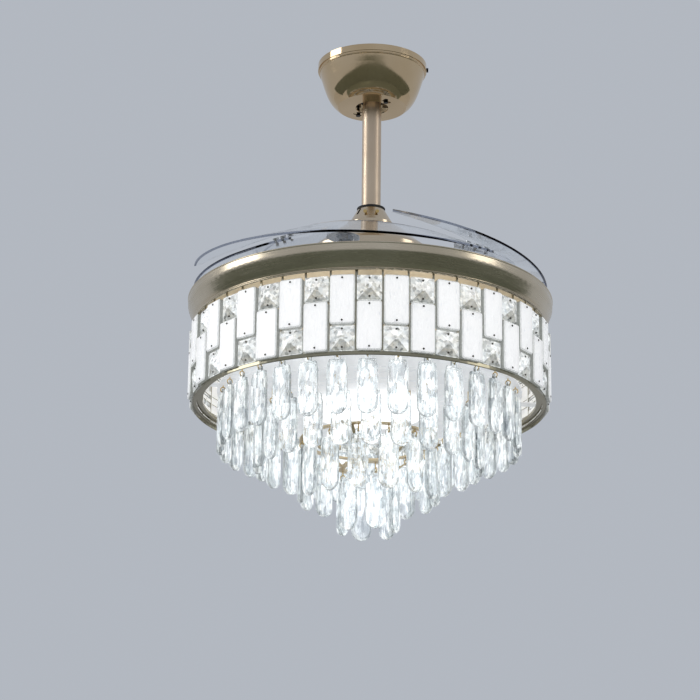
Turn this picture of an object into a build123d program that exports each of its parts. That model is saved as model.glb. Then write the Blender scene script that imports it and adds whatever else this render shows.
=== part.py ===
from build123d import *
import math
import os

os.makedirs("parts", exist_ok=True)

# Chandelier ceiling fan with four folding blades, hung from a ceiling bracket.
# The origin is the centre of the bracket's ceiling face. +Z points up, so the fan hangs below zero.
# All lengths are millimetres, all depths are measured down from the ceiling.

# Fits and overruns
fit_gap = 0.05
seat_gap = 0.3
cut_over = 4.0

# Canopy and hanger
canopy_rim_r = 76.7
canopy_rim_height = 9.0
canopy_bead_r = 1.6
canopy_height = 64.0
canopy_base_r = 48.0
canopy_wall = 1.2
canopy_hole_r = 23.0
canopy_bowl_shares = ((0.975, 0.16), (0.935, 0.32), (0.872, 0.56), (0.785, 0.80))
keyhole_circle_r = 30.5
keyhole_angle = -51.0
keyhole_r = 3.6
keyhole_slot_r = 2.3
keyhole_slot_length = 7.0
keyhole_turn = 9.0
canopy_screw_r = 2.0
canopy_screw_head_r = 3.2
canopy_screw_head = 2.2
rim_screw_depth = 5.0
rim_screw_length = 10.5

bracket_length = 140.0
bracket_width = 30.0
bracket_plate = 2.5
bracket_slot_spacing = 89.0
bracket_slot_length = 14.0
bracket_slot_r = 2.6
bracket_leg_span = 72.0
bracket_seat_depth = 50.5
bracket_seat_width = 60.0
bracket_ear_height = 12.0
bracket_entry_gap = 1.6
bracket_wire_hole_r = 14.0

receiver_size = (70.0, 24.0, 20.0)
receiver_depth = 7.0
receiver_ball_gap = 2.0
receiver_corner_r = 3.0
receiver_clip = (30.0, 8.0, 1.5)
receiver_clip_reach = 21.0

# Downrod, ball and coupling
ball_r = 24.0
ball_depth = 38.0
rod_r = 13.25
rod_wall = 1.8
rod_top_depth = 19.0
rod_length = 221.0
pin_r = 3.0
ball_pin_depth = 30.0
pin_end_gap = 1.5
collar_depth = 216.6
collar_height = 2.9
collar_round_share = 0.25
collar_r = 19.6
cover_base_r = 33.0
cover_lip_height = 4.0
cover_height = 26.5
cover_wall = 1.2
cover_screw_angle = 270.0
cover_screw_spread = 17.0
cover_screw_depth = 230.0
cover_screw_r = 1.6
cover_screw_head_r = 2.6
cover_screw_head = 1.6
cover_slot_angle = 222.0
cover_slot_width = 4.0
cover_slot_height = 11.0
yoke_r = 16.5
yoke_chamfer = 0.2
yoke_floor = 6.0
yoke_top_depth = 222.0
yoke_pin_depth = 230.5
clip_wire_r = 0.8
clip_length = 14.0

# Hollow shaft that carries the light, and the leads inside it
shaft_r = 10.0
shaft_bore_r = 7.6
shaft_top_depth = 236.5
shaft_end_depth = 511.5
lead_r = 2.1
lead_offset = 5.3
lead_top_depth = 13.0
lead_turn_depth = 426.0
lead_step_out = 25.0
lead_step_down = 31.0
lead_tail = 23.0
lead_bend_r = 21.0
lead_window_width = 6.0
lead_window_height = 30.0
lead_rise_share = 3
plug_size = (11.0, 9.0, 7.0)
nut_r = 15.0
nut_sides = 6
nut_height = 6.0

# Motor
motor_top_depth = 247.8
motor_top_r = 38.0
motor_shoulder_depth = 283.0
motor_shoulder_r = 82.5
motor_r = 86.0
motor_split_depth = 324.0
motor_skirt_lap = 6.0
motor_floor_depth = 345.0
motor_wall = 2.3
cover_shoulder_share = 1.3
cover_crown_share = 1.4
motor_floor = 3.0
motor_register_r = 90.0
motor_register_height = 5.4
motor_top_hole_r = 15.5
core_top_depth = 291.5
core_height = 24.0
core_hub_r = 32.0
core_r = 77.7
pole_count = 12
pole_width = 8.0
pole_shoe = 3.7
pole_shoe_share = 0.8
coil_thickness = 3.8
coil_inner_r = 37.0
coil_end_gap = 2.5
coil_corner_r = 2.0
magnet_count = 14
magnet_height = 28.0
magnet_share = 0.86
air_gap = 1.0
bearing_height = 9.0
bearing_inner_wall = 2.5
bearing_ball_r = 2.2
bearing_ball_gap = 0.15
bearing_ball_count = 9
bearing_outer_r = 19.0
bearing_boss_wall = 4.0
upper_bearing_depth = 256.0
side_screw_count = 4
side_screw_r = 1.6
side_screw_head_r = 3.0
side_screw_head = 1.5

# Blade carrier, pivots and synchronising gear
blade_count = 4
tip_angle = 186.2
pivot_r = 150.0
pivot_lag = 160.0
carrier_plate = 3.5
carrier_r = 182.0
carrier_hole_r = 15.5
carrier_window_inner_r = 134.0
carrier_window_width = 34.0
carrier_window_arc = 42.0
carrier_screw_count = 6
carrier_screw_circle_r = 66.0
carrier_screw_r = 2.0
carrier_screw_head_r = 3.6
carrier_screw_head = 2.4
gear_module = 3.125
sun_teeth = 80
pinion_teeth = 16
pressure_angle = 20.0
gear_backlash = 0.3
flank_steps = 4
gear_root_gap_share = 0.25
gear_thickness = 4.0
pivot_pin_r = 5.0
pivot_head_r = 8.0
pivot_head = 1.5
hub_r = 20.0
hub_top_depth = 314.0
hub_spring_bore_r = 11.5
hub_floor = 9.0
washer_r = 13.0
washer_height = 1.2
pivot_pin_proud = 2.5
spring_mean_r = 8.2
spring_wire_r = 0.8
spring_turns = 5
spring_pitch = 2.6

# Folding blade
blade_outer_r = 243.0
blade_tip_depth = 312.0
blade_root_depth = 346.0
blade_drop_arc = 125.0
blade_thickness = 3.0
blade_arc = 150.0
blade_section_count = 9
blade_overreach = 8.0
blade_edge_trim = 8.0
blade_ribbon_width = 124.0
blade_tip_pitch = 13.0
blade_root_pitch = 27.5
blade_pitch_arc = 80.0
blade_inner_shares = ((6, 0.905), (12, 0.845), (22, 0.760), (38, 0.672), (58, 0.618), (82, 0.598),
                      (108, 0.592), (130, 0.606))
blade_tip_share = 0.962
blade_shoulder_arc = 124.0
blade_root_outer_share = 0.880
blade_root_inner_share = 0.665
blade_corner_r = 6.0
arm_far_arc = 128.0
arm_far_share = 0.820
arm_far_r = 14.0
arm_near_arc = 131.0
arm_near_share = 0.680
arm_near_r = 11.0
arm_blade_gap = 0.08
arm_block_height = 70.0
arm_lift = 1.0
arm_screw_arc = 134.0
arm_screw_shares = (0.690, 0.750, 0.810)
arm_screw_r = 2.0
arm_screw_head_r = 4.0
arm_screw_head = 2.0
arm_screw_length = 9.0

# Drum: pan, band, crystal frame and lower ring
pan_depth = 364.5
pan_plate = 1.5
pan_rim = 5.0
pan_vent_count = 12
pan_vent_inner_r = 60.0
pan_vent_outer_r = 120.0
pan_vent_width = 8.0
band_depth = 358.5
band_r = 249.4
band_straight = 7.5
band_waist_r = 246.9
band_waist_share = 0.52
band_foot_r = 239.6
band_height = 31.0
band_wall = 1.5
band_roll_r = 1.35
band_bead_r = 1.15
band_bead_start_share = 0.6
band_bead_step_share = 1.7
band_bead_count = 2
crystal_columns = 44
crystal_front_r = 246.0
crystal_depth = 9.0
crystal_width = 32.2
crystal_tall = 66.4
crystal_square = 34.0
crystal_row_gap = 1.5
crystal_top_depth = 400.8
crystal_corner_r = 3.5
crystal_bevel = 1.6
crystal_base_share = 0.45
crystal_point_share = 0.14
crystal_pin_inset = 4.6
crystal_pin_r = 0.9
crystal_pin_gap = 0.1
crystal_pin_head_r = 1.3
crystal_pin_head = 0.7
column_start_angle = 269.3
hoop_wall = 1.8
hoop_seat_share = 1.5
pin_bore_share = 4
hoop_height = 5.0
strip_width = 2.4
seam_strip_width = 4.0
frame_collar_height = 8.0
frame_top_depth = 383.2
lower_ring_height = 4.0
lower_ring_width = 8.0

# Light tray, lamps and the rings that carry the hanging crystals
tray_flange_r = 207.0
tray_wall_r = 182.0
tray_flange_depth = 485.5
tray_floor_depth = 502.0
tray_sheet = 1.5
tray_tab_count = 8
tray_tab_width = 16.0
tray_tab_angle = 10.0
driver_size = (64.0, 30.0, 22.0)
driver_offset = 34.0
driver_corner_r = 2.0
panel_board = 1.6
panel_r = 73.0
drum_board_r = 143.0
drum_board_width = 38.0
drum_diffuser_wall = 2.0
drum_diffuser_height = 34.0
panel_diffuser_r = 76.0
panel_diffuser_height = 11.0
panel_diffuser_wall = 1.5
panel_diffuser_corner_r = 4.0
ring3_r = 90.0
ring3_width = 8.0
ring3_depth = 552.0
ring_plate = 2.0
hanger_rod_r = 2.0
hanger_count = 4
hanger_angle = 35.6
ring4_corner_r = 44.0
ring4_inner_r = 31.5
ring4_depth = 590.0
ring_arm_count = 6
ring_arm_width = 4.0
ring_arm_thickness = 1.6
ring_arm_foot = 8.0

# Hanging crystals, outermost tier first
tier_names = ("outer_pendants", "middle_pendants", "inner_pendants", "bottom_pendants")
tier_radii = (200.0, 150.0, ring3_r, 36.0)
tier_counts = (32, 24, 14, 6)
tier_angles = (268.8, 270.5, 260.6, 284.5)
last_tier = 3
tier_tip_depths = (573.0, 600.0, 641.0, 682.0)
pendant_length = 80.0
pendant_width = 27.0
pendant_shoulder_width = 22.0
pendant_thickness = 11.0
pendant_bevel = 3.4
pendant_shoulder = 12.0
tab_width = 8.0
tab_height = 7.0
tab_thickness = 4.0
tab_hole_r = 1.8
tab_hole_inset = 3.4
hook_ring_r = 3.4
hook_wire_r = 0.75
hook_head_r = 1.6
hook_head = 1.0


# Shared ways of making a turned shape and a plain tube
def turned(points, mode=Mode.ADD):
    with BuildSketch(Plane.XZ) as profile:
        with BuildLine():
            Polyline(*points, close=True)
        make_face()
    revolve(profile.sketch, axis=Axis.Z, mode=mode)


def tube(outer_r, inner_r, bottom, height, mode=Mode.ADD):
    with BuildSketch(Plane.XY.offset(bottom)) as ring:
        Circle(outer_r)
        if inner_r > 0:
            Circle(inner_r, mode=Mode.SUBTRACT)
    extrude(ring.sketch, amount=height, mode=mode)


def rod(start, end, radius, mode=Mode.ADD):
    direction = Vector(*end) - Vector(*start)
    with BuildSketch(Plane(origin=start, z_dir=direction)) as section:
        Circle(radius)
    extrude(section.sketch, amount=direction.length, mode=mode)


def polar(radius, angle, z=0):
    turn = math.radians(angle)
    return (radius * math.cos(turn), radius * math.sin(turn), z)


def radial_plane(radius, angle, z=0):
    return Plane(origin=polar(radius, angle, z), x_dir=polar(1, angle + 90), z_dir=polar(1, angle))


def save(part, label):
    part.label = label
    export_step(part, "parts/" + label + ".step")


# Hanger bracket: a steel strap bent to a U, with a seat for the ball and a mouth to pass the rod
half_length = bracket_length / 2
keyholes = [polar(keyhole_circle_r, keyhole_angle + side) for side in (0, 180)]
with BuildPart() as hanger_bracket:
    with BuildSketch(Plane.XY.offset(-bracket_plate)):
        Rectangle(bracket_length, bracket_width)
        with GridLocations(bracket_slot_spacing, 0, 2, 1):
            SlotOverall(bracket_slot_length, 2 * bracket_slot_r, mode=Mode.SUBTRACT)
        Circle(bracket_wire_hole_r, mode=Mode.SUBTRACT)
    extrude(amount=bracket_plate)
    with BuildSketch(Plane.XY.offset(-bracket_ear_height)):
        with GridLocations(bracket_length - bracket_plate, 0, 2, 1):
            Rectangle(bracket_plate, bracket_width)
    extrude(amount=bracket_ear_height)
    with BuildSketch(Plane.XY.offset(-bracket_seat_depth)):
        with GridLocations(bracket_leg_span - bracket_plate, 0, 2, 1):
            Rectangle(bracket_plate, bracket_width)
    extrude(amount=bracket_seat_depth - bracket_plate / 2)
    with BuildSketch(Plane.XY.offset(-bracket_seat_depth)):
        Rectangle(bracket_leg_span, bracket_seat_width)
        with Locations((0, bracket_seat_width / 2)):
            Rectangle(2 * (rod_r + bracket_entry_gap), bracket_seat_width, mode=Mode.SUBTRACT)
        with Locations(*keyholes):
            Circle(canopy_screw_r + fit_gap, mode=Mode.SUBTRACT)
    extrude(amount=bracket_plate)
    with Locations((0, 0, -ball_depth)):
        Sphere(ball_r + seat_gap, mode=Mode.SUBTRACT)
    rod((half_length - 2 * bracket_plate, 0, -rim_screw_depth),
        (half_length + cut_over, 0, -rim_screw_depth),
        canopy_screw_r + fit_gap, mode=Mode.SUBTRACT)
save(hanger_bracket.part, "hanger_bracket")

# Canopy: a spun bowl with a banded rim and a bead, a flat base and two keyholes beside the rod hole
bowl = [(canopy_rim_r - canopy_bead_r, -canopy_rim_height)]
bowl += [(canopy_rim_r * r_share, -canopy_height * z_share) for r_share, z_share in canopy_bowl_shares]
bowl += [(canopy_base_r, -canopy_height)]
bowl_inside = [(radius - canopy_wall, z + canopy_wall / 2) for radius, z in bowl[:-1]]
bowl_inside += [(canopy_base_r - canopy_wall, -canopy_height + canopy_wall)]
with BuildPart() as canopy:
    with BuildSketch(Plane.XZ) as canopy_section:
        with BuildLine():
            Polyline((canopy_rim_r - canopy_wall, 0), (canopy_rim_r, 0), (canopy_rim_r, -canopy_rim_height),
                     bowl[0])
            Spline(*bowl)
            Polyline(bowl[-1], (canopy_hole_r, -canopy_height),
                     (canopy_hole_r, -canopy_height + canopy_wall),
                     bowl_inside[-1])
            Spline(*reversed(bowl_inside))
            Polyline(bowl_inside[0], (canopy_rim_r - canopy_wall, -canopy_rim_height + canopy_wall),
                     (canopy_rim_r - canopy_wall, 0))
        make_face()
        with Locations((bowl[1][0] - canopy_wall / 2, bowl[1][1] - canopy_bead_r)):
            Circle(canopy_wall)
    revolve(canopy_section.sketch, axis=Axis.Z)
    for side in (0, 180):
        with BuildSketch(Plane.XY.offset(-canopy_height - cut_over)) as keyhole_shape:
            with Locations(Location(polar(keyhole_circle_r, keyhole_angle + side),
                                    (0, 0, keyhole_angle + side + 90))):
                SlotOverall(keyhole_slot_length + 2 * keyhole_slot_r, 2 * keyhole_slot_r)
            with Locations(polar(keyhole_circle_r, keyhole_angle + side + keyhole_turn)):
                Circle(keyhole_r)
        extrude(keyhole_shape.sketch, amount=2 * cut_over, mode=Mode.SUBTRACT)
    rod((canopy_rim_r - cut_over, 0, -rim_screw_depth), (canopy_rim_r + cut_over, 0, -rim_screw_depth),
        canopy_screw_r + fit_gap, mode=Mode.SUBTRACT)
save(canopy.part, "canopy")

# Canopy screws: two reach up through the keyholes to the bracket's seat, one runs in through the rim
head_z = -canopy_height - seat_gap
rim_head_r = canopy_rim_r + seat_gap
with BuildPart() as canopy_screws:
    for x, y, z in keyholes:
        rod((x, y, head_z), (x, y, -bracket_seat_depth + bracket_plate), canopy_screw_r)
        rod((x, y, head_z - canopy_screw_head), (x, y, head_z), canopy_screw_head_r)
    rod((rim_head_r - rim_screw_length, 0, -rim_screw_depth), (rim_head_r, 0, -rim_screw_depth),
        canopy_screw_r)
    rod((rim_head_r, 0, -rim_screw_depth), (rim_head_r + canopy_screw_head, 0, -rim_screw_depth),
        canopy_screw_head_r)
save(canopy_screws.part, "canopy_screws")

# Remote receiver: a plastic box beside the ball, with a tongue that clips under the bracket's plate
receiver_y = ball_r + receiver_ball_gap + receiver_size[1] / 2
tongue_far = receiver_y - receiver_size[1] / 2 + receiver_clip[1]
tongue_length = receiver_clip[1] + receiver_clip_reach
with BuildPart() as remote_receiver:
    with BuildSketch(Plane.XY.offset(-receiver_depth - receiver_size[2])):
        with Locations((0, receiver_y)):
            RectangleRounded(receiver_size[0], receiver_size[1], receiver_corner_r)
    extrude(amount=receiver_size[2])
    with BuildSketch(Plane.XY.offset(-receiver_depth)):
        with Locations((0, tongue_far - receiver_clip[1] / 2)):
            Rectangle(receiver_clip[0], receiver_clip[1])
    extrude(amount=receiver_depth - bracket_plate - seat_gap)
    with BuildSketch(Plane.XY.offset(-bracket_plate - seat_gap - receiver_clip[2])):
        with Locations((0, tongue_far - tongue_length / 2)):
            Rectangle(receiver_clip[0], tongue_length)
    extrude(amount=receiver_clip[2])
save(remote_receiver.part, "remote_receiver")

# Hanger ball: moulded, pinned to the rod, rests in the bracket's seat
with BuildPart() as hanger_ball:
    with Locations((0, 0, -ball_depth)):
        Sphere(ball_r)
    tube(rod_r + fit_gap, 0, -ball_depth - ball_r - cut_over, 2 * (ball_r + cut_over), mode=Mode.SUBTRACT)
    rod((-ball_r - cut_over, 0, -ball_pin_depth), (ball_r + cut_over, 0, -ball_pin_depth), pin_r + fit_gap,
        mode=Mode.SUBTRACT)
save(hanger_ball.part, "hanger_ball")

# Downrod: a steel tube, cross drilled for the ball pin and the yoke pin
with BuildPart() as downrod:
    tube(rod_r, rod_r - rod_wall, -rod_top_depth - rod_length, rod_length)
    for pin_depth in (ball_pin_depth, yoke_pin_depth):
        rod((-rod_r - cut_over, 0, -pin_depth), (rod_r + cut_over, 0, -pin_depth), pin_r + fit_gap,
            mode=Mode.SUBTRACT)
save(downrod.part, "downrod")

# Cross pins: one through the ball, one through the yoke with its spring clip
ball_chord = math.sqrt(ball_r ** 2 - (ball_depth - ball_pin_depth) ** 2) - pin_end_gap
yoke_pin_reach = yoke_r + pin_end_gap
with BuildPart() as cross_pins:
    rod((-ball_chord, 0, -ball_pin_depth), (ball_chord, 0, -ball_pin_depth), pin_r)
    rod((-yoke_pin_reach, 0, -yoke_pin_depth), (yoke_pin_reach, 0, -yoke_pin_depth), pin_r)
    clip_x = yoke_r + clip_wire_r + seat_gap
    rod((clip_x, 0, -yoke_pin_depth - clip_length / 2), (clip_x, 0, -yoke_pin_depth + clip_length / 2),
        clip_wire_r)
save(cross_pins.part, "cross_pins")

# Collar: a thin rubber ring that closes the top of the coupling cover round the rod
with BuildPart() as collar_ring:
    tube(collar_r, rod_r + fit_gap, -collar_depth - collar_height, collar_height)
    fillet(collar_ring.edges().filter_by(GeomType.CIRCLE).sort_by(Axis.Z)[-1],
           radius=collar_height * collar_round_share)
save(collar_ring.part, "collar_ring")

# Coupling cover: a spun cone over the yoke, slotted at the side and held by two screws
cover_top = -collar_depth - collar_height
cover_bottom = cover_top - cover_height
cover_lip = cover_bottom + cover_lip_height
cover_profile = [(rod_r + cover_wall, cover_top), (collar_r - cover_wall / 2, cover_top),
                 (cover_base_r - cover_wall, cover_lip), (cover_base_r, cover_lip),
                 (cover_base_r, cover_bottom), (cover_base_r - cover_wall, cover_bottom),
                 (cover_base_r - 2 * cover_wall, cover_lip),
                  (collar_r - 2 * cover_wall, cover_top - cover_wall),
                 (rod_r + cover_wall, cover_top - cover_wall)]
cover_slope = (cover_base_r - collar_r) / (cover_height - cover_lip_height)


def cover_r(depth):
    return collar_r + cover_slope * (depth + cover_top)


with BuildPart() as coupling_cover:
    turned(cover_profile)
    with BuildSketch(radial_plane(yoke_r, cover_slot_angle,
                                  cover_top - cover_slot_height / 2 - cover_wall)):
        SlotOverall(cover_slot_height, cover_slot_width, rotation=90)
    extrude(amount=2 * collar_r, mode=Mode.SUBTRACT)
    for side in (-1, 1):
        screw_angle = cover_screw_angle + side * cover_screw_spread
        rod(polar(yoke_r, screw_angle, -cover_screw_depth),
            polar(2 * yoke_r, screw_angle, -cover_screw_depth), cover_screw_r + fit_gap, mode=Mode.SUBTRACT)
save(coupling_cover.part, "coupling_cover")

# Cover screws: two small screws that pass the cone and bite in the yoke
with BuildPart() as cover_screws:
    for side in (-1, 1):
        screw_angle = cover_screw_angle + side * cover_screw_spread
        head_r = cover_r(cover_screw_depth) + cover_screw_head_r * cover_slope
        rod(polar(yoke_r + fit_gap, screw_angle, -cover_screw_depth),
            polar(head_r, screw_angle, -cover_screw_depth), cover_screw_r)
        rod(polar(head_r, screw_angle, -cover_screw_depth),
            polar(head_r + cover_screw_head, screw_angle, -cover_screw_depth), cover_screw_head_r)
save(cover_screws.part, "cover_screws")

# Motor yoke: joins the downrod to the hollow shaft
rod_end = -rod_top_depth - rod_length
with BuildPart() as motor_yoke:
    tube(yoke_r, rod_r + fit_gap, rod_end, -yoke_top_depth - rod_end)
    tube(yoke_r, shaft_r + fit_gap, rod_end - yoke_floor, yoke_floor)
    rod((-2 * yoke_r, 0, -yoke_pin_depth), (2 * yoke_r, 0, -yoke_pin_depth), pin_r + fit_gap,
        mode=Mode.SUBTRACT)
    chamfer(motor_yoke.edges().filter_by(GeomType.CIRCLE).sort_by(Axis.Z)[-1], length=yoke_chamfer)
save(motor_yoke.part, "motor_yoke")

# Motor shaft: hollow and fixed, it carries the stator, the pan and the light tray
window_middle = -lead_turn_depth - lead_window_height / 2 + lead_rise_share * lead_r
with BuildPart() as motor_shaft:
    tube(shaft_r, shaft_bore_r, -shaft_end_depth, shaft_end_depth - shaft_top_depth)
    with BuildSketch(radial_plane(0, 90, window_middle)):
        SlotOverall(lead_window_height, lead_window_width, rotation=90)
    extrude(amount=2 * shaft_r, mode=Mode.SUBTRACT)
save(motor_shaft.part, "motor_shaft")

# Motor leads: a sleeved bundle from a plug above the ball, down the shaft and out to the light driver
lead_route = [(0, lead_offset, -lead_top_depth), (0, lead_offset, -lead_turn_depth),
              (0, lead_offset + lead_step_out, -lead_turn_depth - lead_step_down),
              (0, lead_offset + lead_step_out, -lead_turn_depth - lead_step_down - lead_tail)]
with BuildPart() as motor_leads:
    with BuildLine() as lead_line:
        FilletPolyline(*lead_route, radius=lead_bend_r)
    with BuildSketch(Plane(origin=lead_route[0], z_dir=(0, 0, -1))):
        Circle(lead_r)
    sweep()
    with Locations((0, lead_offset, -lead_top_depth + plug_size[2] / 2)):
        Box(*plug_size)
lead_volume = math.pi * lead_r ** 2 * lead_line.wire().length + plug_size[0] * plug_size[1] * plug_size[2]
print("motor_leads bend radius", lead_bend_r)
print("motor_leads volume", round(motor_leads.part.volume), "from its route", round(lead_volume))
save(motor_leads.part, "motor_leads")

# Shaft nuts: above and below the pan, and above and below the tray
nut_bottoms = (-pan_depth, -pan_depth - pan_plate - nut_height,
               -tray_floor_depth, -tray_floor_depth - tray_sheet - panel_board - nut_height)
with BuildPart() as shaft_nuts:
    for bottom in nut_bottoms:
        with BuildSketch(Plane.XY.offset(bottom)):
            RegularPolygon(nut_r, nut_sides)
            Circle(shaft_r + fit_gap, mode=Mode.SUBTRACT)
        extrude(amount=nut_height)
save(shaft_nuts.part, "shaft_nuts")

# Bearings: inner rings on the shaft, outer rings and balls with the rotor
lower_bearing_depth = motor_floor_depth - motor_floor - bearing_height
bearing_tops = (-upper_bearing_depth, -lower_bearing_depth)
inner_ring_r = shaft_r + fit_gap + bearing_inner_wall
ball_circle_r = (inner_ring_r + bearing_outer_r) / 2
groove_r = bearing_ball_r + bearing_ball_gap
outer_ring_r = ball_circle_r + bearing_ball_r / 2
with BuildPart() as bearing_inner_rings:
    for top in bearing_tops:
        tube(ball_circle_r - bearing_ball_r / 2, shaft_r + fit_gap, top - bearing_height, bearing_height)
        with BuildSketch(Plane.XZ) as groove:
            with Locations((ball_circle_r, top - bearing_height / 2)):
                Circle(groove_r)
        revolve(groove.sketch, axis=Axis.Z, mode=Mode.SUBTRACT)
save(bearing_inner_rings.part, "bearing_inner_rings")

with BuildPart() as bearing_outer_rings:
    for top in bearing_tops:
        tube(bearing_outer_r, outer_ring_r, top - bearing_height, bearing_height)
        with BuildSketch(Plane.XZ) as groove:
            with Locations((ball_circle_r, top - bearing_height / 2)):
                Circle(groove_r)
        revolve(groove.sketch, axis=Axis.Z, mode=Mode.SUBTRACT)
save(bearing_outer_rings.part, "bearing_outer_rings")

with BuildPart() as bearing_balls:
    for top in bearing_tops:
        with Locations((0, 0, top - bearing_height / 2)):
            with PolarLocations(ball_circle_r, bearing_ball_count):
                Sphere(bearing_ball_r)
save(bearing_balls.part, "bearing_balls")

# Stator core: a hub with twelve poles, each with a curved shoe
core_bottom = -core_top_depth - core_height
with BuildPart() as stator_core:
    with BuildSketch(Plane.XY.offset(core_bottom)):
        Circle(core_hub_r)
        with PolarLocations((core_hub_r + core_r - pole_shoe) / 2, pole_count):
            Rectangle(core_r - core_hub_r, pole_width)
    extrude(amount=core_height)
    shoe_arc = 360 / pole_count * pole_shoe_share
    for pole in range(pole_count):
        middle = 360 / pole_count * pole
        with BuildSketch(Plane.XY.offset(core_bottom)) as shoe:
            with BuildLine():
                outer_arc = CenterArc((0, 0), core_r, middle - shoe_arc / 2, shoe_arc)
                inner_arc = CenterArc((0, 0), core_r - pole_shoe, middle - shoe_arc / 2, shoe_arc)
                Line(outer_arc @ 0, inner_arc @ 0)
                Line(outer_arc @ 1, inner_arc @ 1)
            make_face()
        extrude(shoe.sketch, amount=core_height)
    tube(shaft_r + fit_gap, 0, core_bottom, core_height, mode=Mode.SUBTRACT)
    tube(core_r + cut_over, core_r, core_bottom, core_height, mode=Mode.SUBTRACT)
save(stator_core.part, "stator_core")

# Stator windings: one closed coil round each pole
coil_length = core_r - pole_shoe - coil_end_gap - coil_inner_r
with BuildPart() as one_coil:
    with BuildSketch(radial_plane(coil_inner_r, 0, core_bottom + core_height / 2)):
        RectangleRounded(pole_width + 2 * coil_thickness, core_height + 2 * coil_thickness, coil_corner_r)
        Rectangle(pole_width + 2 * fit_gap, core_height + 2 * fit_gap, mode=Mode.SUBTRACT)
    extrude(amount=coil_length)
with BuildPart() as stator_windings:
    with PolarLocations(0, pole_count):
        add(one_coil.part)
save(stator_windings.part, "stator_windings")

# Motor top cover: the spun dome of the rotor, with the upper bearing's boss inside
shoulder_drop = 2 * motor_wall
side_screw_z = -motor_split_depth + motor_skirt_lap / 2
cover_outer = [(motor_top_hole_r, -motor_top_depth), (motor_top_r, -motor_top_depth),
               (motor_shoulder_r, -motor_shoulder_depth), (motor_r, -motor_shoulder_depth - shoulder_drop),
               (motor_r, -motor_split_depth)]
cover_inner = [(motor_r - motor_wall, -motor_split_depth),
               (motor_r - motor_wall, -motor_shoulder_depth - shoulder_drop - motor_wall / 2),
               (motor_shoulder_r - motor_wall / 2, -motor_shoulder_depth - motor_wall * cover_shoulder_share),
               (motor_top_r, -motor_top_depth - motor_wall * cover_crown_share),
               (motor_top_hole_r, -motor_top_depth - motor_wall * cover_crown_share)]
with BuildPart() as motor_top_cover:
    turned(cover_outer + cover_inner)
    boss_top = -motor_top_depth - motor_wall
    tube(bearing_outer_r + bearing_boss_wall, bearing_outer_r + fit_gap,
         -upper_bearing_depth - bearing_height,
         boss_top + upper_bearing_depth + bearing_height)
    tube(bearing_outer_r + bearing_boss_wall, motor_top_hole_r, -upper_bearing_depth,
         boss_top + upper_bearing_depth)
    for place in range(side_screw_count):
        angle = (360 * place + 180) / side_screw_count
        rod(polar(motor_r - 2 * motor_wall, angle, side_screw_z),
            polar(motor_r + cut_over, angle, side_screw_z),
            side_screw_r + fit_gap, mode=Mode.SUBTRACT)
save(motor_top_cover.part, "motor_top_cover")

# Motor base: the cup under the dome, with the lower bearing's boss and the gear's register
floor_bottom = -motor_floor_depth
base_wall_r = motor_r - 2 * motor_wall
with BuildPart() as motor_base:
    tube(motor_r, carrier_hole_r, floor_bottom, motor_floor)
    tube(motor_r, base_wall_r, floor_bottom, motor_floor_depth - motor_split_depth)
    tube(motor_r - motor_wall - fit_gap, base_wall_r, floor_bottom,
         motor_floor_depth - motor_split_depth + motor_skirt_lap)
    tube(motor_register_r, base_wall_r, floor_bottom, motor_register_height)
    tube(bearing_outer_r + bearing_boss_wall, bearing_outer_r + fit_gap, floor_bottom + motor_floor,
         bearing_height)
    for place in range(carrier_screw_count):
        x, y, z = polar(carrier_screw_circle_r, 360 / carrier_screw_count * place, floor_bottom - cut_over)
        rod((x, y, z), (x, y, z + motor_floor + 2 * cut_over), carrier_screw_r + fit_gap,
            mode=Mode.SUBTRACT)
    for place in range(side_screw_count):
        angle = (360 * place + 180) / side_screw_count
        rod(polar(base_wall_r - cut_over, angle, side_screw_z),
            polar(motor_r + cut_over, angle, side_screw_z),
            side_screw_r + fit_gap, mode=Mode.SUBTRACT)
save(motor_base.part, "motor_base")

# Motor screws: four through the dome's skirt, six up through the blade carrier
carrier_bottom = floor_bottom - carrier_plate
with BuildPart() as motor_screws:
    for place in range(side_screw_count):
        angle = (360 * place + 180) / side_screw_count
        rod(polar(base_wall_r, angle, side_screw_z), polar(motor_r, angle, side_screw_z), side_screw_r)
        rod(polar(motor_r, angle, side_screw_z), polar(motor_r + side_screw_head, angle, side_screw_z),
            side_screw_head_r)
    for place in range(carrier_screw_count):
        x, y, z = polar(carrier_screw_circle_r, 360 / carrier_screw_count * place, carrier_bottom)
        rod((x, y, z), (x, y, z + carrier_plate + motor_floor), carrier_screw_r)
        rod((x, y, z - carrier_screw_head), (x, y, z), carrier_screw_head_r)
save(motor_screws.part, "motor_screws")

# Rotor magnets: curved blocks glued round the inside of the dome
magnet_outer_r = motor_r - motor_wall - fit_gap
magnet_inner_r = core_r + air_gap
magnet_arc = 360 / magnet_count * magnet_share
with BuildPart() as one_magnet:
    with BuildSketch(Plane.XY.offset(core_bottom - (magnet_height - core_height) / 2)):
        with BuildLine():
            outer_arc = CenterArc((0, 0), magnet_outer_r, -magnet_arc / 2, magnet_arc)
            inner_arc = CenterArc((0, 0), magnet_inner_r, -magnet_arc / 2, magnet_arc)
            Line(outer_arc @ 0, inner_arc @ 0)
            Line(outer_arc @ 1, inner_arc @ 1)
        make_face()
    extrude(amount=magnet_height)
with BuildPart() as magnets:
    with PolarLocations(0, magnet_count):
        add(one_magnet.part)
save(magnets.part, "magnets")

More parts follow.
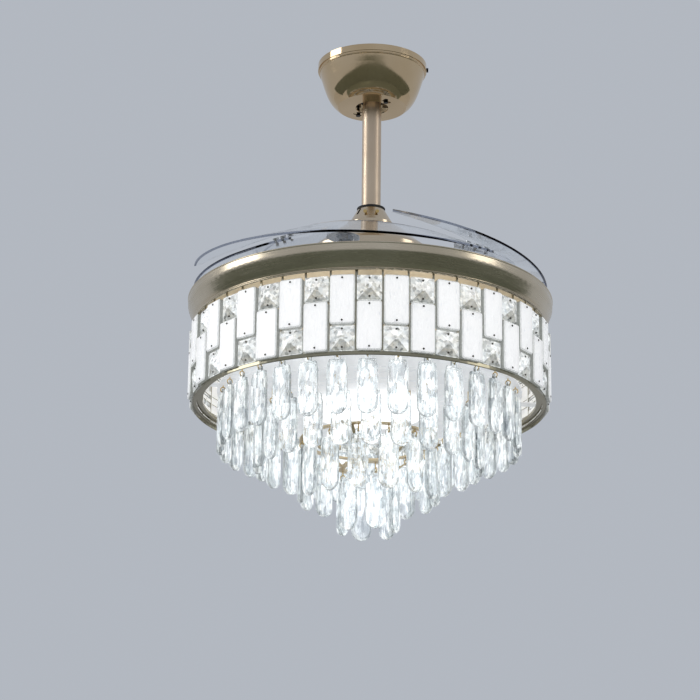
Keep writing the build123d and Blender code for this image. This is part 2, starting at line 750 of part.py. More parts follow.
# Blade carrier: the disc under the motor that the four blade pivots stand on
pivot_angles = [tip_angle + pivot_lag + 360 / blade_count * number for number in range(blade_count)]
window_r = carrier_window_inner_r + carrier_window_width / 2
with BuildPart() as blade_carrier:
    tube(carrier_r, carrier_hole_r, carrier_bottom, carrier_plate)
    for angle in pivot_angles:
        start = angle + 180 / blade_count - carrier_window_arc / 2
        with BuildSketch(Plane.XY.offset(carrier_bottom)) as window:
            SlotArc(CenterArc((0, 0), window_r, start, carrier_window_arc), carrier_window_width)
        extrude(window.sketch, amount=carrier_plate, mode=Mode.SUBTRACT)
        x, y, z = polar(pivot_r, angle, carrier_bottom)
        rod((x, y, z), (x, y, z + carrier_plate), pivot_pin_r + fit_gap, mode=Mode.SUBTRACT)
    for place in range(carrier_screw_count):
        x, y, z = polar(carrier_screw_circle_r, 360 / carrier_screw_count * place, carrier_bottom)
        rod((x, y, z), (x, y, z + carrier_plate), carrier_screw_r + fit_gap, mode=Mode.SUBTRACT)
save(blade_carrier.part, "blade_carrier")

# Pivot pins: headed under the carrier, each with its washer above the blade's hub
washer_bottom = -hub_top_depth + seat_gap
with BuildPart() as pivot_pins:
    for angle in pivot_angles:
        x, y, z = polar(pivot_r, angle, carrier_bottom)
        rod((x, y, z), (x, y, washer_bottom + washer_height + pivot_pin_proud), pivot_pin_r)
        rod((x, y, z - pivot_head), (x, y, z), pivot_head_r)
        with BuildSketch(Plane.XY.offset(washer_bottom)) as washer:
            with Locations((x, y)):
                Circle(washer_r)
                Circle(pivot_pin_r + fit_gap, mode=Mode.SUBTRACT)
        extrude(washer.sketch, amount=washer_height)
save(pivot_pins.part, "pivot_pins")

# Return springs: torsion springs closed in the hubs, drawn as sleeves of the spring's outer shape
gear_bottom = floor_bottom + seat_gap
gear_top = gear_bottom + gear_thickness
pocket_floor = gear_top + hub_floor
with BuildPart() as return_springs:
    with BuildSketch(Plane.XY.offset(pocket_floor + seat_gap)):
        for angle in pivot_angles:
            with Locations(polar(pivot_r, angle)):
                Circle(spring_mean_r + spring_wire_r)
                Circle(spring_mean_r - spring_wire_r, mode=Mode.SUBTRACT)
    extrude(amount=spring_turns * spring_pitch)
save(return_springs.part, "return_springs")


# Involute gear outline, one flank point at a time, with a tooth pointing at the given angle
def involute(angle):
    return math.tan(angle) - angle


def gear_outline(teeth, centre, start_angle):
    pitch = gear_module * teeth / 2
    pressure = math.radians(pressure_angle)
    base = pitch * math.cos(pressure)
    tip = pitch + gear_module
    root = pitch - gear_module * (1 + gear_root_gap_share)
    half_tooth = math.pi / teeth / 2 - gear_backlash / 4 / pitch + involute(pressure)
    low = max(base, root)
    flank_radii = [low + (tip - low) * step / flank_steps for step in range(flank_steps + 1)]
    for tooth in range(teeth):
        middle = math.radians(start_angle) + 2 * math.pi * tooth / teeth
        right = []
        left = []
        for radius in flank_radii:
            turn = half_tooth - involute(math.acos(base / radius))
            right.append(place_round(centre, radius, middle - turn))
            left.append(place_round(centre, radius, middle + turn))
        next_middle = middle + 2 * math.pi / teeth
        foot_turn = half_tooth - involute(math.acos(base / low))
        foot = place_round(centre, root, middle + foot_turn)
        valley = place_round(centre, root, (middle + next_middle) / 2)
        next_foot = place_round(centre, root, next_middle - foot_turn)
        next_start = place_round(centre, low, next_middle - foot_turn)
        Spline(*right)
        ThreePointArc(right[-1], place_round(centre, tip, middle), left[-1])
        Spline(*reversed(left))
        if low > root:
            Line(left[0], foot)
        ThreePointArc(foot, valley, next_foot)
        if low > root:
            Line(next_foot, next_start)


def place_round(centre, radius, turn):
    return (centre[0] + radius * math.cos(turn), centre[1] + radius * math.sin(turn))


# Synchronising gear: it turns on the motor base and keeps the four blades together
with BuildPart() as sync_gear:
    with BuildSketch(Plane.XY.offset(gear_bottom)):
        with BuildLine():
            gear_outline(sun_teeth, (0, 0), pivot_angles[0])
        make_face()
        Circle(motor_register_r + fit_gap, mode=Mode.SUBTRACT)
    extrude(amount=gear_thickness)
save(sync_gear.part, "sync_gear")


# Folding blade: a clear ribbon that rises inward, trimmed to a crescent seen from above
def blade_outer_z(arc):
    return -blade_root_depth + (blade_root_depth - blade_tip_depth) * max(0, 1 - arc / blade_drop_arc) ** 2


def blade_pitch(arc):
    rise = math.sin(math.pi / 2 * min(1, max(0, arc / blade_pitch_arc)))
    return blade_tip_pitch + (blade_root_pitch - blade_tip_pitch) * rise


def blade_plane(arc, share=1):
    reach = blade_outer_r * share
    slope = math.radians(blade_pitch(arc))
    z = blade_outer_z(arc) + (blade_outer_r - reach) * math.tan(slope)
    inward = polar(-math.cos(slope), tip_angle + arc, math.sin(slope))
    return Plane(origin=polar(reach, tip_angle + arc, z), x_dir=inward,
                 z_dir=polar(1, tip_angle + arc + 90))


def ribbon_sections(bottom, thickness, extra_width=0):
    arc_step = (blade_arc + 2 * blade_overreach) / (blade_section_count - 1)
    sections = []
    for index in range(blade_section_count):
        with BuildSketch(blade_plane(index * arc_step - blade_overreach)) as section:
            width = blade_ribbon_width + extra_width
            with Locations((width / 2 - blade_edge_trim, bottom + thickness / 2)):
                Rectangle(width, thickness)
        sections.append(section.sketch.face())
    return sections


def blade_point(arc, share):
    return polar(blade_outer_r * share, tip_angle + arc)[:2]


inner_edge = [blade_point(arc, share) for arc, share in blade_inner_shares]
root_outer = blade_point(blade_arc, blade_root_outer_share)
root_inner = blade_point(blade_arc, blade_root_inner_share)
with BuildPart() as one_blade:
    loft(sections=ribbon_sections(-blade_thickness / 2, blade_thickness))
    with BuildSketch(Plane.XY.offset(-blade_root_depth - blade_ribbon_width)) as crescent:
        with BuildLine():
            outer_edge = CenterArc((0, 0), blade_outer_r, tip_angle, blade_shoulder_arc)
            Polyline(outer_edge @ 1, root_outer, root_inner, inner_edge[-1])
            Spline(*reversed(inner_edge), blade_point(0, blade_tip_share))
            Line(blade_point(0, blade_tip_share), outer_edge @ 0)
        make_face()
        fillet(crescent.vertices().sort_by_distance(root_outer)[0], radius=blade_corner_r)
        fillet(crescent.vertices().sort_by_distance(root_inner)[0], radius=blade_corner_r)
    extrude(crescent.sketch, amount=2 * blade_ribbon_width, mode=Mode.INTERSECT)
    for share in arm_screw_shares:
        seat = blade_plane(arm_screw_arc, share)
        with BuildSketch(Plane(origin=seat.origin, z_dir=seat.y_dir)) as screw_hole:
            Circle(arm_screw_r + fit_gap)
        extrude(screw_hole.sketch, amount=blade_thickness, both=True, mode=Mode.SUBTRACT)

# Blade holder: the hub on the pivot pin, its pinion below and the arm that the blade is screwed to
first_pivot = polar(pivot_r, pivot_angles[0])[:2]
hub_top = -hub_top_depth
with BuildPart() as one_holder:
    with BuildSketch(Plane.XY.offset(gear_top + arm_lift)) as arm:
        with Locations(first_pivot):
            Circle(hub_r)
        with Locations(blade_point(arm_far_arc, arm_far_share)):
            Circle(arm_far_r)
        with Locations(blade_point(arm_near_arc, arm_near_share)):
            Circle(arm_near_r)
        make_hull()
    extrude(arm.sketch, amount=arm_block_height)
    under_blade = -blade_thickness / 2 - arm_blade_gap
    blade_space = ribbon_sections(under_blade, arm_block_height, arm_block_height)
    loft(sections=blade_space, mode=Mode.SUBTRACT)
    with BuildSketch(Plane.XY.offset(hub_top)) as above_hub:
        with Locations(first_pivot):
            Circle(hub_r + cut_over)
    extrude(above_hub.sketch, amount=arm_block_height, mode=Mode.SUBTRACT)
    with BuildSketch(Plane.XY.offset(gear_top)) as hub:
        with Locations(first_pivot):
            Circle(hub_r)
    extrude(hub.sketch, amount=hub_top - gear_top)
    with BuildSketch(Plane.XY.offset(gear_bottom)) as pinion:
        with BuildLine():
            gear_outline(pinion_teeth, first_pivot, pivot_angles[0] + 180 + 180 / pinion_teeth)
        make_face()
    extrude(pinion.sketch, amount=gear_thickness)
    with BuildSketch(Plane.XY.offset(gear_bottom)) as pivot_bore:
        with Locations(first_pivot):
            Circle(pivot_pin_r + fit_gap)
    extrude(pivot_bore.sketch, amount=hub_top - gear_bottom, mode=Mode.SUBTRACT)
    with BuildSketch(Plane.XY.offset(pocket_floor)) as pocket:
        with Locations(first_pivot):
            Circle(hub_spring_bore_r)
    extrude(pocket.sketch, amount=hub_top - pocket_floor, mode=Mode.SUBTRACT)
    for share in arm_screw_shares:
        seat = blade_plane(arm_screw_arc, share)
        with BuildSketch(Plane(origin=seat.origin, z_dir=-seat.y_dir)) as screw_hole:
            Circle(arm_screw_r + fit_gap)
        extrude(screw_hole.sketch, amount=arm_screw_length, mode=Mode.SUBTRACT)

# Blade screws: three through the blade's root into the arm
with BuildPart() as one_screw_set:
    for share in arm_screw_shares:
        seat = blade_plane(arm_screw_arc, share)
        shank_plane = Plane(origin=seat.origin, z_dir=-seat.y_dir)
        with BuildSketch(shank_plane.offset(-blade_thickness / 2 - seat_gap)) as shank:
            Circle(arm_screw_r)
        extrude(shank.sketch, amount=arm_screw_length)
        head_plane = Plane(origin=seat.origin, z_dir=seat.y_dir)
        with BuildSketch(head_plane.offset(blade_thickness / 2 + seat_gap)) as head:
            Circle(arm_screw_head_r)
        extrude(head.sketch, amount=arm_screw_head)

for number in range(blade_count):
    quarter = 360 / blade_count * number
    for source, label in ((one_blade, "blade"), (one_holder, "blade_holder"),
                          (one_screw_set, "blade_screws")):
        with BuildPart() as copy:
            add(source.part, rotation=(0, 0, quarter))
        save(copy.part, label + "_" + str(number + 1))

# Drum pan: the vented disc under the rotor that the band and the crystal frame hang from
pan_r = band_r - band_wall - fit_gap
pan_top = -pan_depth
with BuildPart() as drum_top_pan:
    tube(pan_r, shaft_r + fit_gap, pan_top - pan_plate, pan_plate)
    tube(pan_r, pan_r - pan_plate, pan_top - pan_plate, pan_rim)
    vent_length = pan_vent_outer_r - pan_vent_inner_r
    with BuildSketch(Plane.XY.offset(pan_top - pan_plate)) as vents:
        with PolarLocations(pan_vent_inner_r + vent_length / 2, pan_vent_count):
            SlotOverall(vent_length, pan_vent_width)
    extrude(vents.sketch, amount=pan_plate, mode=Mode.SUBTRACT)
save(drum_top_pan.part, "drum_top_pan")

# Drum band: spun sheet with a rolled top edge, drawn in to two beads at its foot
band_top = -band_depth
band_foot = band_top - band_height
band_side = [(band_r, band_top - band_straight), (band_waist_r, band_top - band_height * band_waist_share),
             (band_foot_r, band_foot)]
band_inside = [(radius - band_wall, z) for radius, z in band_side]
with BuildPart() as drum_band:
    with BuildSketch(Plane.XZ) as band_section:
        with BuildLine():
            Line((band_r, band_top), band_side[0])
            Spline(*band_side, tangents=((0, -1), (-1, -1)))
            Line(band_side[-1], band_inside[-1])
            Spline(*reversed(band_inside), tangents=((1, 1), (0, 1)))
            Polyline(band_inside[0], (band_r - band_wall, band_top), (band_r, band_top))
        make_face()
        with Locations((band_r - band_wall / 2, band_top)):
            Circle(band_roll_r)
        for bead in range(band_bead_count):
            bead_drop = band_bead_r * (band_bead_start_share + band_bead_step_share * bead)
            with Locations((band_foot_r, band_foot - bead_drop)):
                Circle(band_bead_r)
            with Locations((band_foot_r - band_wall / 2, band_foot - band_bead_r * bead)):
                Rectangle(band_wall / 2, 2 * band_bead_r)
    revolve(band_section.sketch, axis=Axis.Z)
save(drum_band.part, "drum_band")

# Crystal columns: their places, and the heights of the pins that hold each crystal
column_step = 360 / crystal_columns
crystal_back_r = crystal_front_r - crystal_depth
upper_top = -crystal_top_depth
tall_upper = upper_top - crystal_tall / 2
square_upper = upper_top - crystal_square / 2
square_lower = upper_top - crystal_tall - crystal_row_gap - crystal_square / 2
tall_lower = upper_top - crystal_square - crystal_row_gap - crystal_tall / 2
tall_inset = crystal_tall / 2 - crystal_pin_inset
square_inset = crystal_square / 2 - crystal_pin_inset
square_first_pins = [square_upper + square_inset, square_upper - square_inset,
                     tall_lower + tall_inset, tall_lower - tall_inset]
tall_first_pins = [tall_upper + tall_inset, tall_upper - tall_inset,
                   square_lower + square_inset, square_lower - square_inset]
square_face_rise = (crystal_pin_inset + crystal_pin_head_r - crystal_bevel / 2) / (
    (crystal_square - crystal_bevel - crystal_square * crystal_point_share) / 2)
square_face = crystal_depth * (crystal_base_share + (1 - crystal_base_share) * square_face_rise)
square_pin_r = crystal_back_r + square_face
pin_rows = [(column_start_angle, square_first_pins[0], square_pin_r),
            (column_start_angle, square_first_pins[1], square_pin_r),
            (column_start_angle, square_first_pins[2], crystal_front_r),
            (column_start_angle, square_first_pins[3], crystal_front_r),
            (column_start_angle + column_step, tall_first_pins[0], crystal_front_r),
            (column_start_angle + column_step, tall_first_pins[1], crystal_front_r),
            (column_start_angle + column_step, tall_first_pins[2], square_pin_r),
            (column_start_angle + column_step, tall_first_pins[3], square_pin_r)]
pair_count = crystal_columns // 2

# Crystal frame: hoops behind the pins, upright strips in the gaps and a collar inside the band's foot
hoop_r = crystal_back_r - seat_gap
frame_bottom = square_first_pins[-1] - hoop_height / 2
tray_hoop_z = -tray_flange_depth - tray_sheet / 2
hoop_levels = sorted(set(square_first_pins + tall_first_pins)) + [tray_hoop_z]
frame_collar_r = band_foot_r - band_wall - fit_gap
with BuildPart() as crystal_frame:
    for z in hoop_levels:
        tube(hoop_r, hoop_r - hoop_wall, z - hoop_height / 2, hoop_height)
    tube(frame_collar_r, hoop_r - hoop_wall, -frame_top_depth - frame_collar_height, frame_collar_height)
    frame_height = -frame_top_depth - frame_collar_height - frame_bottom
    with BuildSketch(Plane.XY.offset(frame_bottom)) as strips:
        with PolarLocations(hoop_r - hoop_wall, crystal_columns,
                            start_angle=column_start_angle + column_step / 2):
            Rectangle(hoop_wall, strip_width)
        with PolarLocations(hoop_r - hoop_wall, 1, start_angle=column_start_angle - column_step / 2):
            Rectangle(hoop_wall, seam_strip_width)
    extrude(strips.sketch, amount=frame_height)
    for start_angle, z, pin_front in pin_rows:
        with BuildSketch(Plane.YZ.offset(hoop_r - 2 * hoop_wall)) as bore_section:
            with Locations((0, z)):
                Circle(crystal_pin_r + fit_gap)
        bore = extrude(bore_section.sketch, amount=pin_bore_share * hoop_wall, mode=Mode.PRIVATE)
        with PolarLocations(0, pair_count, start_angle=start_angle):
            add(bore, mode=Mode.SUBTRACT)
save(crystal_frame.part, "crystal_frame")


# Drum crystals: each stands on its flat back, is bevelled or cut to a shallow pyramid, and is bored twice
def crystal_holes(height):
    with BuildSketch(Plane.YZ.offset(crystal_back_r)) as holes:
        for side in (-1, 1):
            with Locations((0, side * (height / 2 - crystal_pin_inset))):
                Circle(crystal_pin_r + crystal_pin_gap)
    extrude(holes.sketch, amount=crystal_depth, mode=Mode.SUBTRACT)


with BuildPart() as one_tall:
    with BuildSketch(Plane.YZ.offset(crystal_back_r)) as outline:
        RectangleRounded(crystal_width, crystal_tall, crystal_corner_r)
    extrude(outline.sketch, amount=crystal_depth)
    chamfer(one_tall.faces().sort_by(Axis.X)[-1].edges(), length=crystal_bevel)
    crystal_holes(crystal_tall)
with BuildPart() as one_square:
    with BuildSketch(Plane.YZ.offset(crystal_back_r)) as outline:
        RectangleRounded(crystal_width, crystal_square, crystal_corner_r / 2)
    extrude(outline.sketch, amount=crystal_depth * crystal_base_share)
    with BuildSketch(Plane.YZ.offset(crystal_back_r + crystal_depth * crystal_base_share)) as wide:
        Rectangle(crystal_width - crystal_bevel, crystal_square - crystal_bevel)
    with BuildSketch(Plane.YZ.offset(crystal_front_r)) as point:
        Rectangle(crystal_width * crystal_point_share, crystal_square * crystal_point_share)
    loft(sections=[wide.sketch.face(), point.sketch.face()])
    crystal_holes(crystal_square)
with BuildPart() as tall_crystals:
    for start_angle, z in ((column_start_angle, tall_lower),
                            (column_start_angle + column_step, tall_upper)):
        with PolarLocations(0, pair_count, start_angle=start_angle):
            add(one_tall.part.moved(Location((0, 0, z))))
with BuildPart() as square_crystals:
    for start_angle, z in ((column_start_angle, square_upper),
                            (column_start_angle + column_step, square_lower)):
        with PolarLocations(0, pair_count, start_angle=start_angle):
            add(one_square.part.moved(Location((0, 0, z))))
save(tall_crystals.part, "tall_crystals")
save(square_crystals.part, "square_crystals")

# Crystal pins: a headed pin through each end of every drum crystal, into the hoop behind
with BuildPart() as crystal_pins:
    for start_angle, z, pin_front in pin_rows:
        with BuildPart(mode=Mode.PRIVATE) as one_pin:
            rod((hoop_r - hoop_wall, 0, z), (pin_front + crystal_pin_head, 0, z), crystal_pin_r)
            rod((pin_front, 0, z), (pin_front + crystal_pin_head, 0, z), crystal_pin_head_r)
        with PolarLocations(0, pair_count, start_angle=start_angle):
            add(one_pin.part)
save(crystal_pins.part, "crystal_pins")

# Lower ring: closes the foot of the drum inside the crystal frame
lower_ring_r = hoop_r - hoop_seat_share * hoop_wall - fit_gap
with BuildPart() as lower_ring:
    tube(lower_ring_r, lower_ring_r - lower_ring_width, frame_bottom, lower_ring_height)
save(lower_ring.part, "lower_ring")


# Places of the hanging crystals, and the level of the plate that each tier hangs from
def tier_places(tier):
    return [tier_angles[tier] + 360 / tier_counts[tier] * number for number in range(tier_counts[tier])]


flange_top = -tray_flange_depth
floor_top = -tray_floor_depth
ring3_top = -ring3_depth
ring4_top = -ring4_depth
tier_tops = (flange_top, floor_top, ring3_top, ring4_top)
hook_hole_r = hook_wire_r + fit_gap


def hook_holes(tier, bottom, height):
    with BuildSketch(Plane.XY.offset(bottom)) as holes:
        for angle in tier_places(tier):
            with Locations(polar(tier_radii[tier], angle)):
                Circle(hook_hole_r)
    extrude(holes.sketch, amount=height, mode=Mode.SUBTRACT)


# Light tray: a pressed pan on the shaft, with tabs out to the crystal frame
with BuildPart() as light_tray:
    tube(tray_wall_r, shaft_r + fit_gap, floor_top - tray_sheet, tray_sheet)
    tube(tray_wall_r, tray_wall_r - tray_sheet, floor_top - tray_sheet, flange_top - floor_top + tray_sheet)
    tube(tray_flange_r, tray_wall_r - tray_sheet, flange_top - tray_sheet, tray_sheet)
    tab_reach = hoop_r - hoop_seat_share * hoop_wall - fit_gap - tray_wall_r
    with BuildSketch(Plane.XY.offset(flange_top - tray_sheet)) as tabs:
        with PolarLocations(tray_wall_r + tab_reach / 2, tray_tab_count, start_angle=tray_tab_angle):
            Rectangle(tab_reach, tray_tab_width)
        Circle(lower_ring_r, mode=Mode.INTERSECT)
    extrude(tabs.sketch, amount=tray_sheet)
    hook_holes(0, flange_top - tray_sheet, tray_sheet)
    hook_holes(1, floor_top - tray_sheet, tray_sheet)
save(light_tray.part, "light_tray")

# Light driver: the supply that stands on the tray beside the shaft
with BuildPart() as led_driver:
    with Locations((0, driver_offset, floor_top + driver_size[2] / 2)):
        Box(*driver_size)
    fillet(led_driver.edges().filter_by(Axis.Z), radius=driver_corner_r)
save(led_driver.part, "led_driver")

# Light boards: a disc under the tray for the panel and a ring on the tray for the drum
panel_top = floor_top - tray_sheet
with BuildPart() as led_boards:
    tube(panel_r, nut_r + seat_gap, panel_top - panel_board, panel_board)
    tube(drum_board_r, drum_board_r - drum_board_width, floor_top, panel_board)
save(led_boards.part, "led_boards")

# Panel diffuser: the shallow opal dish under the tray
with BuildPart() as panel_diffuser:
    with BuildSketch(Plane.XY.offset(panel_top - panel_diffuser_height)):
        Circle(panel_diffuser_r)
    extrude(amount=panel_diffuser_height)
    fillet(panel_diffuser.edges().sort_by(Axis.Z)[0], radius=panel_diffuser_corner_r)
    offset(amount=-panel_diffuser_wall, openings=panel_diffuser.faces().sort_by(Axis.Z)[-1])
save(panel_diffuser.part, "panel_diffuser")

# Drum diffuser: an opal channel over the ring board that lights the drum crystals from inside
cover_out = drum_board_r + seat_gap + drum_diffuser_wall
cover_in = drum_board_r - drum_board_width - seat_gap - drum_diffuser_wall
with BuildPart() as drum_diffuser:
    tube(cover_out, cover_out - drum_diffuser_wall, floor_top, drum_diffuser_height)
    tube(cover_in + drum_diffuser_wall, cover_in, floor_top, drum_diffuser_height)
    tube(cover_out, cover_in, floor_top + drum_diffuser_height - drum_diffuser_wall, drum_diffuser_wall)
save(drum_diffuser.part, "drum_diffuser")

# Inner ring and bottom ring: flat plates that carry the two lowest tiers
with BuildPart() as inner_ring:
    tube(ring3_r + ring3_width / 2, ring3_r - ring3_width / 2, ring3_top - ring_plate, ring_plate)
    hook_holes(2, ring3_top - ring_plate, ring_plate)
save(inner_ring.part, "inner_ring")

with BuildPart() as bottom_ring:
    with BuildSketch(Plane.XY.offset(ring4_top - ring_plate)):
        RegularPolygon(ring4_corner_r, ring_arm_count, rotation=tier_angles[last_tier])
        Circle(ring4_inner_r, mode=Mode.SUBTRACT)
    extrude(amount=ring_plate)
    hook_holes(last_tier, ring4_top - ring_plate, ring_plate)
save(bottom_ring.part, "bottom_ring")

# Ring hangers: four rods under the tray carry the inner ring, six bent strips carry the bottom ring
ring3_inside = ring3_r - ring3_width / 2 - fit_gap
arm_end = ring4_inner_r + fit_gap
arm_path = [(ring3_inside, ring3_top), (ring3_inside, ring3_top - ring_plate),
            (arm_end + ring_arm_foot, ring4_top), (arm_end, ring4_top),
            (arm_end, ring4_top + ring_arm_thickness),
            (arm_end + ring_arm_foot - ring_arm_thickness, ring4_top + ring_arm_thickness)]
with BuildPart() as one_arm:
    with BuildSketch(Plane.XZ):
        with BuildLine():
            Polyline(*arm_path, close=True)
        make_face()
    extrude(amount=ring_arm_width / 2, both=True)
with BuildPart() as ring_hangers:
    for number in range(hanger_count):
        x, y, z = polar(ring3_r, hanger_angle + 360 / hanger_count * number)
        rod((x, y, ring3_top), (x, y, panel_top), hanger_rod_r)
    with PolarLocations(0, ring_arm_count, start_angle=tier_angles[last_tier] + 180 / ring_arm_count):
        add(one_arm.part)
save(ring_hangers.part, "ring_hangers")

# Hanging crystal: a flat tongue with a round foot, bevelled on both faces, and a bored tab at its head
body_height = pendant_length - tab_height
with BuildPart() as one_pendant:
    with BuildSketch(Plane.YZ.offset(-pendant_thickness / 2)) as tongue:
        with BuildLine():
            foot_arc = CenterArc((0, pendant_width / 2), pendant_width / 2, 180, 180)
            Polyline(foot_arc @ 1, (pendant_width / 2, body_height - pendant_shoulder),
                     (pendant_shoulder_width / 2, body_height), (-pendant_shoulder_width / 2, body_height),
                     (-pendant_width / 2, body_height - pendant_shoulder), foot_arc @ 0)
        make_face()
    extrude(tongue.sketch, amount=pendant_thickness)
    front_and_back = one_pendant.faces().sort_by(Axis.X)
    chamfer(front_and_back[0].edges() + front_and_back[-1].edges(), length=pendant_bevel)
    with BuildSketch(Plane.YZ.offset(-tab_thickness / 2)) as tab:
        with Locations((0, body_height - pendant_bevel)):
            Rectangle(tab_width, tab_height + pendant_bevel, align=(Align.CENTER, Align.MIN))
        with Locations((0, pendant_length - tab_hole_inset)):
            Circle(tab_hole_r, mode=Mode.SUBTRACT)
    extrude(tab.sketch, amount=tab_thickness)

for tier, label in enumerate(tier_names):
    with BuildPart() as tier_part:
        with PolarLocations(0, tier_counts[tier], start_angle=tier_angles[tier]):
            add(one_pendant.part.moved(Location((tier_radii[tier], 0, -tier_tip_depths[tier]))))
    save(tier_part.part, label)

# Pendant hooks: a headed wire down through the plate, ending in a ring through the crystal's tab
with BuildPart() as pendant_hooks:
    for tier in range(len(tier_names)):
        ring_z = -tier_tip_depths[tier] + pendant_length - tab_hole_inset + hook_ring_r
        radius = tier_radii[tier]
        with BuildPart(mode=Mode.PRIVATE) as one_hook:
            rod((radius, 0, ring_z + hook_ring_r), (radius, 0, tier_tops[tier] + hook_head / 2),
                hook_wire_r)
            rod((radius, 0, tier_tops[tier]), (radius, 0, tier_tops[tier] + hook_head), hook_head_r)
            with Locations((radius, 0, ring_z)):
                Torus(hook_ring_r, hook_wire_r, rotation=(90, 0, 0))
        with PolarLocations(0, tier_counts[tier], start_angle=tier_angles[tier]):
            add(one_hook.part)
save(pendant_hooks.part, "pendant_hooks")
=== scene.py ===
import math

import bmesh
import bpy
from mathutils import Matrix, Vector


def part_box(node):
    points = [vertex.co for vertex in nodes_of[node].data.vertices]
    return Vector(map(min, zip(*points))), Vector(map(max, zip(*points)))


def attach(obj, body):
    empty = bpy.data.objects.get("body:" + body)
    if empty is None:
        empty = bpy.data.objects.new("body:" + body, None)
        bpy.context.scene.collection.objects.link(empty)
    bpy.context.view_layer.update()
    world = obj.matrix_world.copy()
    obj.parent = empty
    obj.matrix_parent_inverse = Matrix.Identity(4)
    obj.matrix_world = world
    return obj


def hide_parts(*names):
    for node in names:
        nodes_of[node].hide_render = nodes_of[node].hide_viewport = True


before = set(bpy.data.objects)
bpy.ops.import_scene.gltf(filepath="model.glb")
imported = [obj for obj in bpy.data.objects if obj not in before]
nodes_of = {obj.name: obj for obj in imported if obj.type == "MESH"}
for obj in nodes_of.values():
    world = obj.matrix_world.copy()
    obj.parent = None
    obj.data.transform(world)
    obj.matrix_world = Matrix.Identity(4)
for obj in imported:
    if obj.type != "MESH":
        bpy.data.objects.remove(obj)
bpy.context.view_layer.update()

# Camera: almost straight before the fan and well below the ceiling.
# It looks up at the drum through a long lens, tipped slightly to one side.
camera_place = (-0.027, -3.337, -1.519)
lens_pitch = math.radians(18.18)
lens_roll = math.radians(0.66)
lens_length = 132.3
sensor_width = 36
view_end = 40
scene = bpy.context.scene
camera_data = bpy.data.cameras.new("photo_camera")
camera_data.sensor_width = sensor_width
camera_data.lens = lens_length
camera_data.clip_end = view_end
camera = bpy.data.objects.new("photo_camera", camera_data)
scene.collection.objects.link(camera)
camera_turn = Matrix.Rotation(math.pi / 2 + lens_pitch, 4, "X") @ Matrix.Rotation(lens_roll, 4, "Z")
camera.matrix_world = Matrix.Translation(camera_place) @ camera_turn
scene.camera = camera
scene.view_settings.view_transform = "Standard"

# Studio: a pale room that lights the fan, brighter above than below, with soft lamps round it.
# The camera, gloss and glass see an even pale backdrop instead, which darkens far below.
room_top = (0.92, 0.93, 0.95, 1)
room_middle = (0.50, 0.50, 0.49, 1)
room_low = (0.16, 0.15, 0.14, 1)
room_middle_at = 0.5
room_strength = 0.85
backdrop_colour = (0.45, 0.48, 0.53, 1)
backdrop_low = (0.10, 0.10, 0.10, 1)
backdrop_low_at = 0.12
backdrop_colour_at = 0.36
world = bpy.data.worlds.new("studio")
scene.world = world
world.use_nodes = True
room = world.node_tree
room.nodes.clear()
room_out = room.nodes.new("ShaderNodeOutputWorld")
room_mix = room.nodes.new("ShaderNodeMixShader")
room_light = room.nodes.new("ShaderNodeBackground")
room_seen = room.nodes.new("ShaderNodeBackground")
room_path = room.nodes.new("ShaderNodeLightPath")
room_coords = room.nodes.new("ShaderNodeTexCoord")
room_split = room.nodes.new("ShaderNodeSeparateXYZ")
room_range = room.nodes.new("ShaderNodeMapRange")
room_range.inputs["From Min"].default_value = -1
room_ramp = room.nodes.new("ShaderNodeValToRGB")
room_ramp.color_ramp.elements[0].color = room_low
room_ramp.color_ramp.elements[1].color = room_top
room_ramp.color_ramp.elements.new(room_middle_at).color = room_middle
room_light.inputs["Strength"].default_value = room_strength
room_shown = room.nodes.new("ShaderNodeValToRGB")
room_shown.color_ramp.elements[0].color = backdrop_low
room_shown.color_ramp.elements[1].color = backdrop_colour
room_shown.color_ramp.elements[0].position = backdrop_low_at
room_shown.color_ramp.elements[1].position = backdrop_colour_at
room_through = room.nodes.new("ShaderNodeMath")
room_through.operation = "MAXIMUM"
room_mirrored = room.nodes.new("ShaderNodeMath")
room_mirrored.operation = "MAXIMUM"
room.links.new(room_coords.outputs["Generated"], room_split.inputs[0])
room.links.new(room_split.outputs["Z"], room_range.inputs["Value"])
room.links.new(room_range.outputs[0], room_ramp.inputs[0])
room.links.new(room_ramp.outputs[0], room_light.inputs["Color"])
room.links.new(room_range.outputs[0], room_shown.inputs[0])
room.links.new(room_shown.outputs[0], room_seen.inputs["Color"])
room.links.new(room_path.outputs["Is Camera Ray"], room_through.inputs[0])
room.links.new(room_path.outputs["Is Transmission Ray"], room_through.inputs[1])
room.links.new(room_through.outputs[0], room_mirrored.inputs[0])
room.links.new(room_path.outputs["Is Glossy Ray"], room_mirrored.inputs[1])
room.links.new(room_mirrored.outputs[0], room_mix.inputs[0])
room.links.new(room_light.outputs[0], room_mix.inputs[1])
room.links.new(room_seen.outputs[0], room_mix.inputs[2])
room.links.new(room_mix.outputs[0], room_out.inputs["Surface"])


def softbox(name, place, aim, width, height, power, colour=(1, 1, 1), mirrored=True):
    lamp = bpy.data.lights.new(name, "AREA")
    lamp.shape = "RECTANGLE"
    lamp.size = width
    lamp.size_y = height
    lamp.energy = power
    lamp.color = colour
    holder = bpy.data.objects.new(name, lamp)
    scene.collection.objects.link(holder)
    look = (Vector(aim) - Vector(place)).to_track_quat("-Z", "Y").to_matrix().to_4x4()
    holder.matrix_world = Matrix.Translation(place) @ look
    holder.visible_transmission = False
    holder.visible_glossy = mirrored


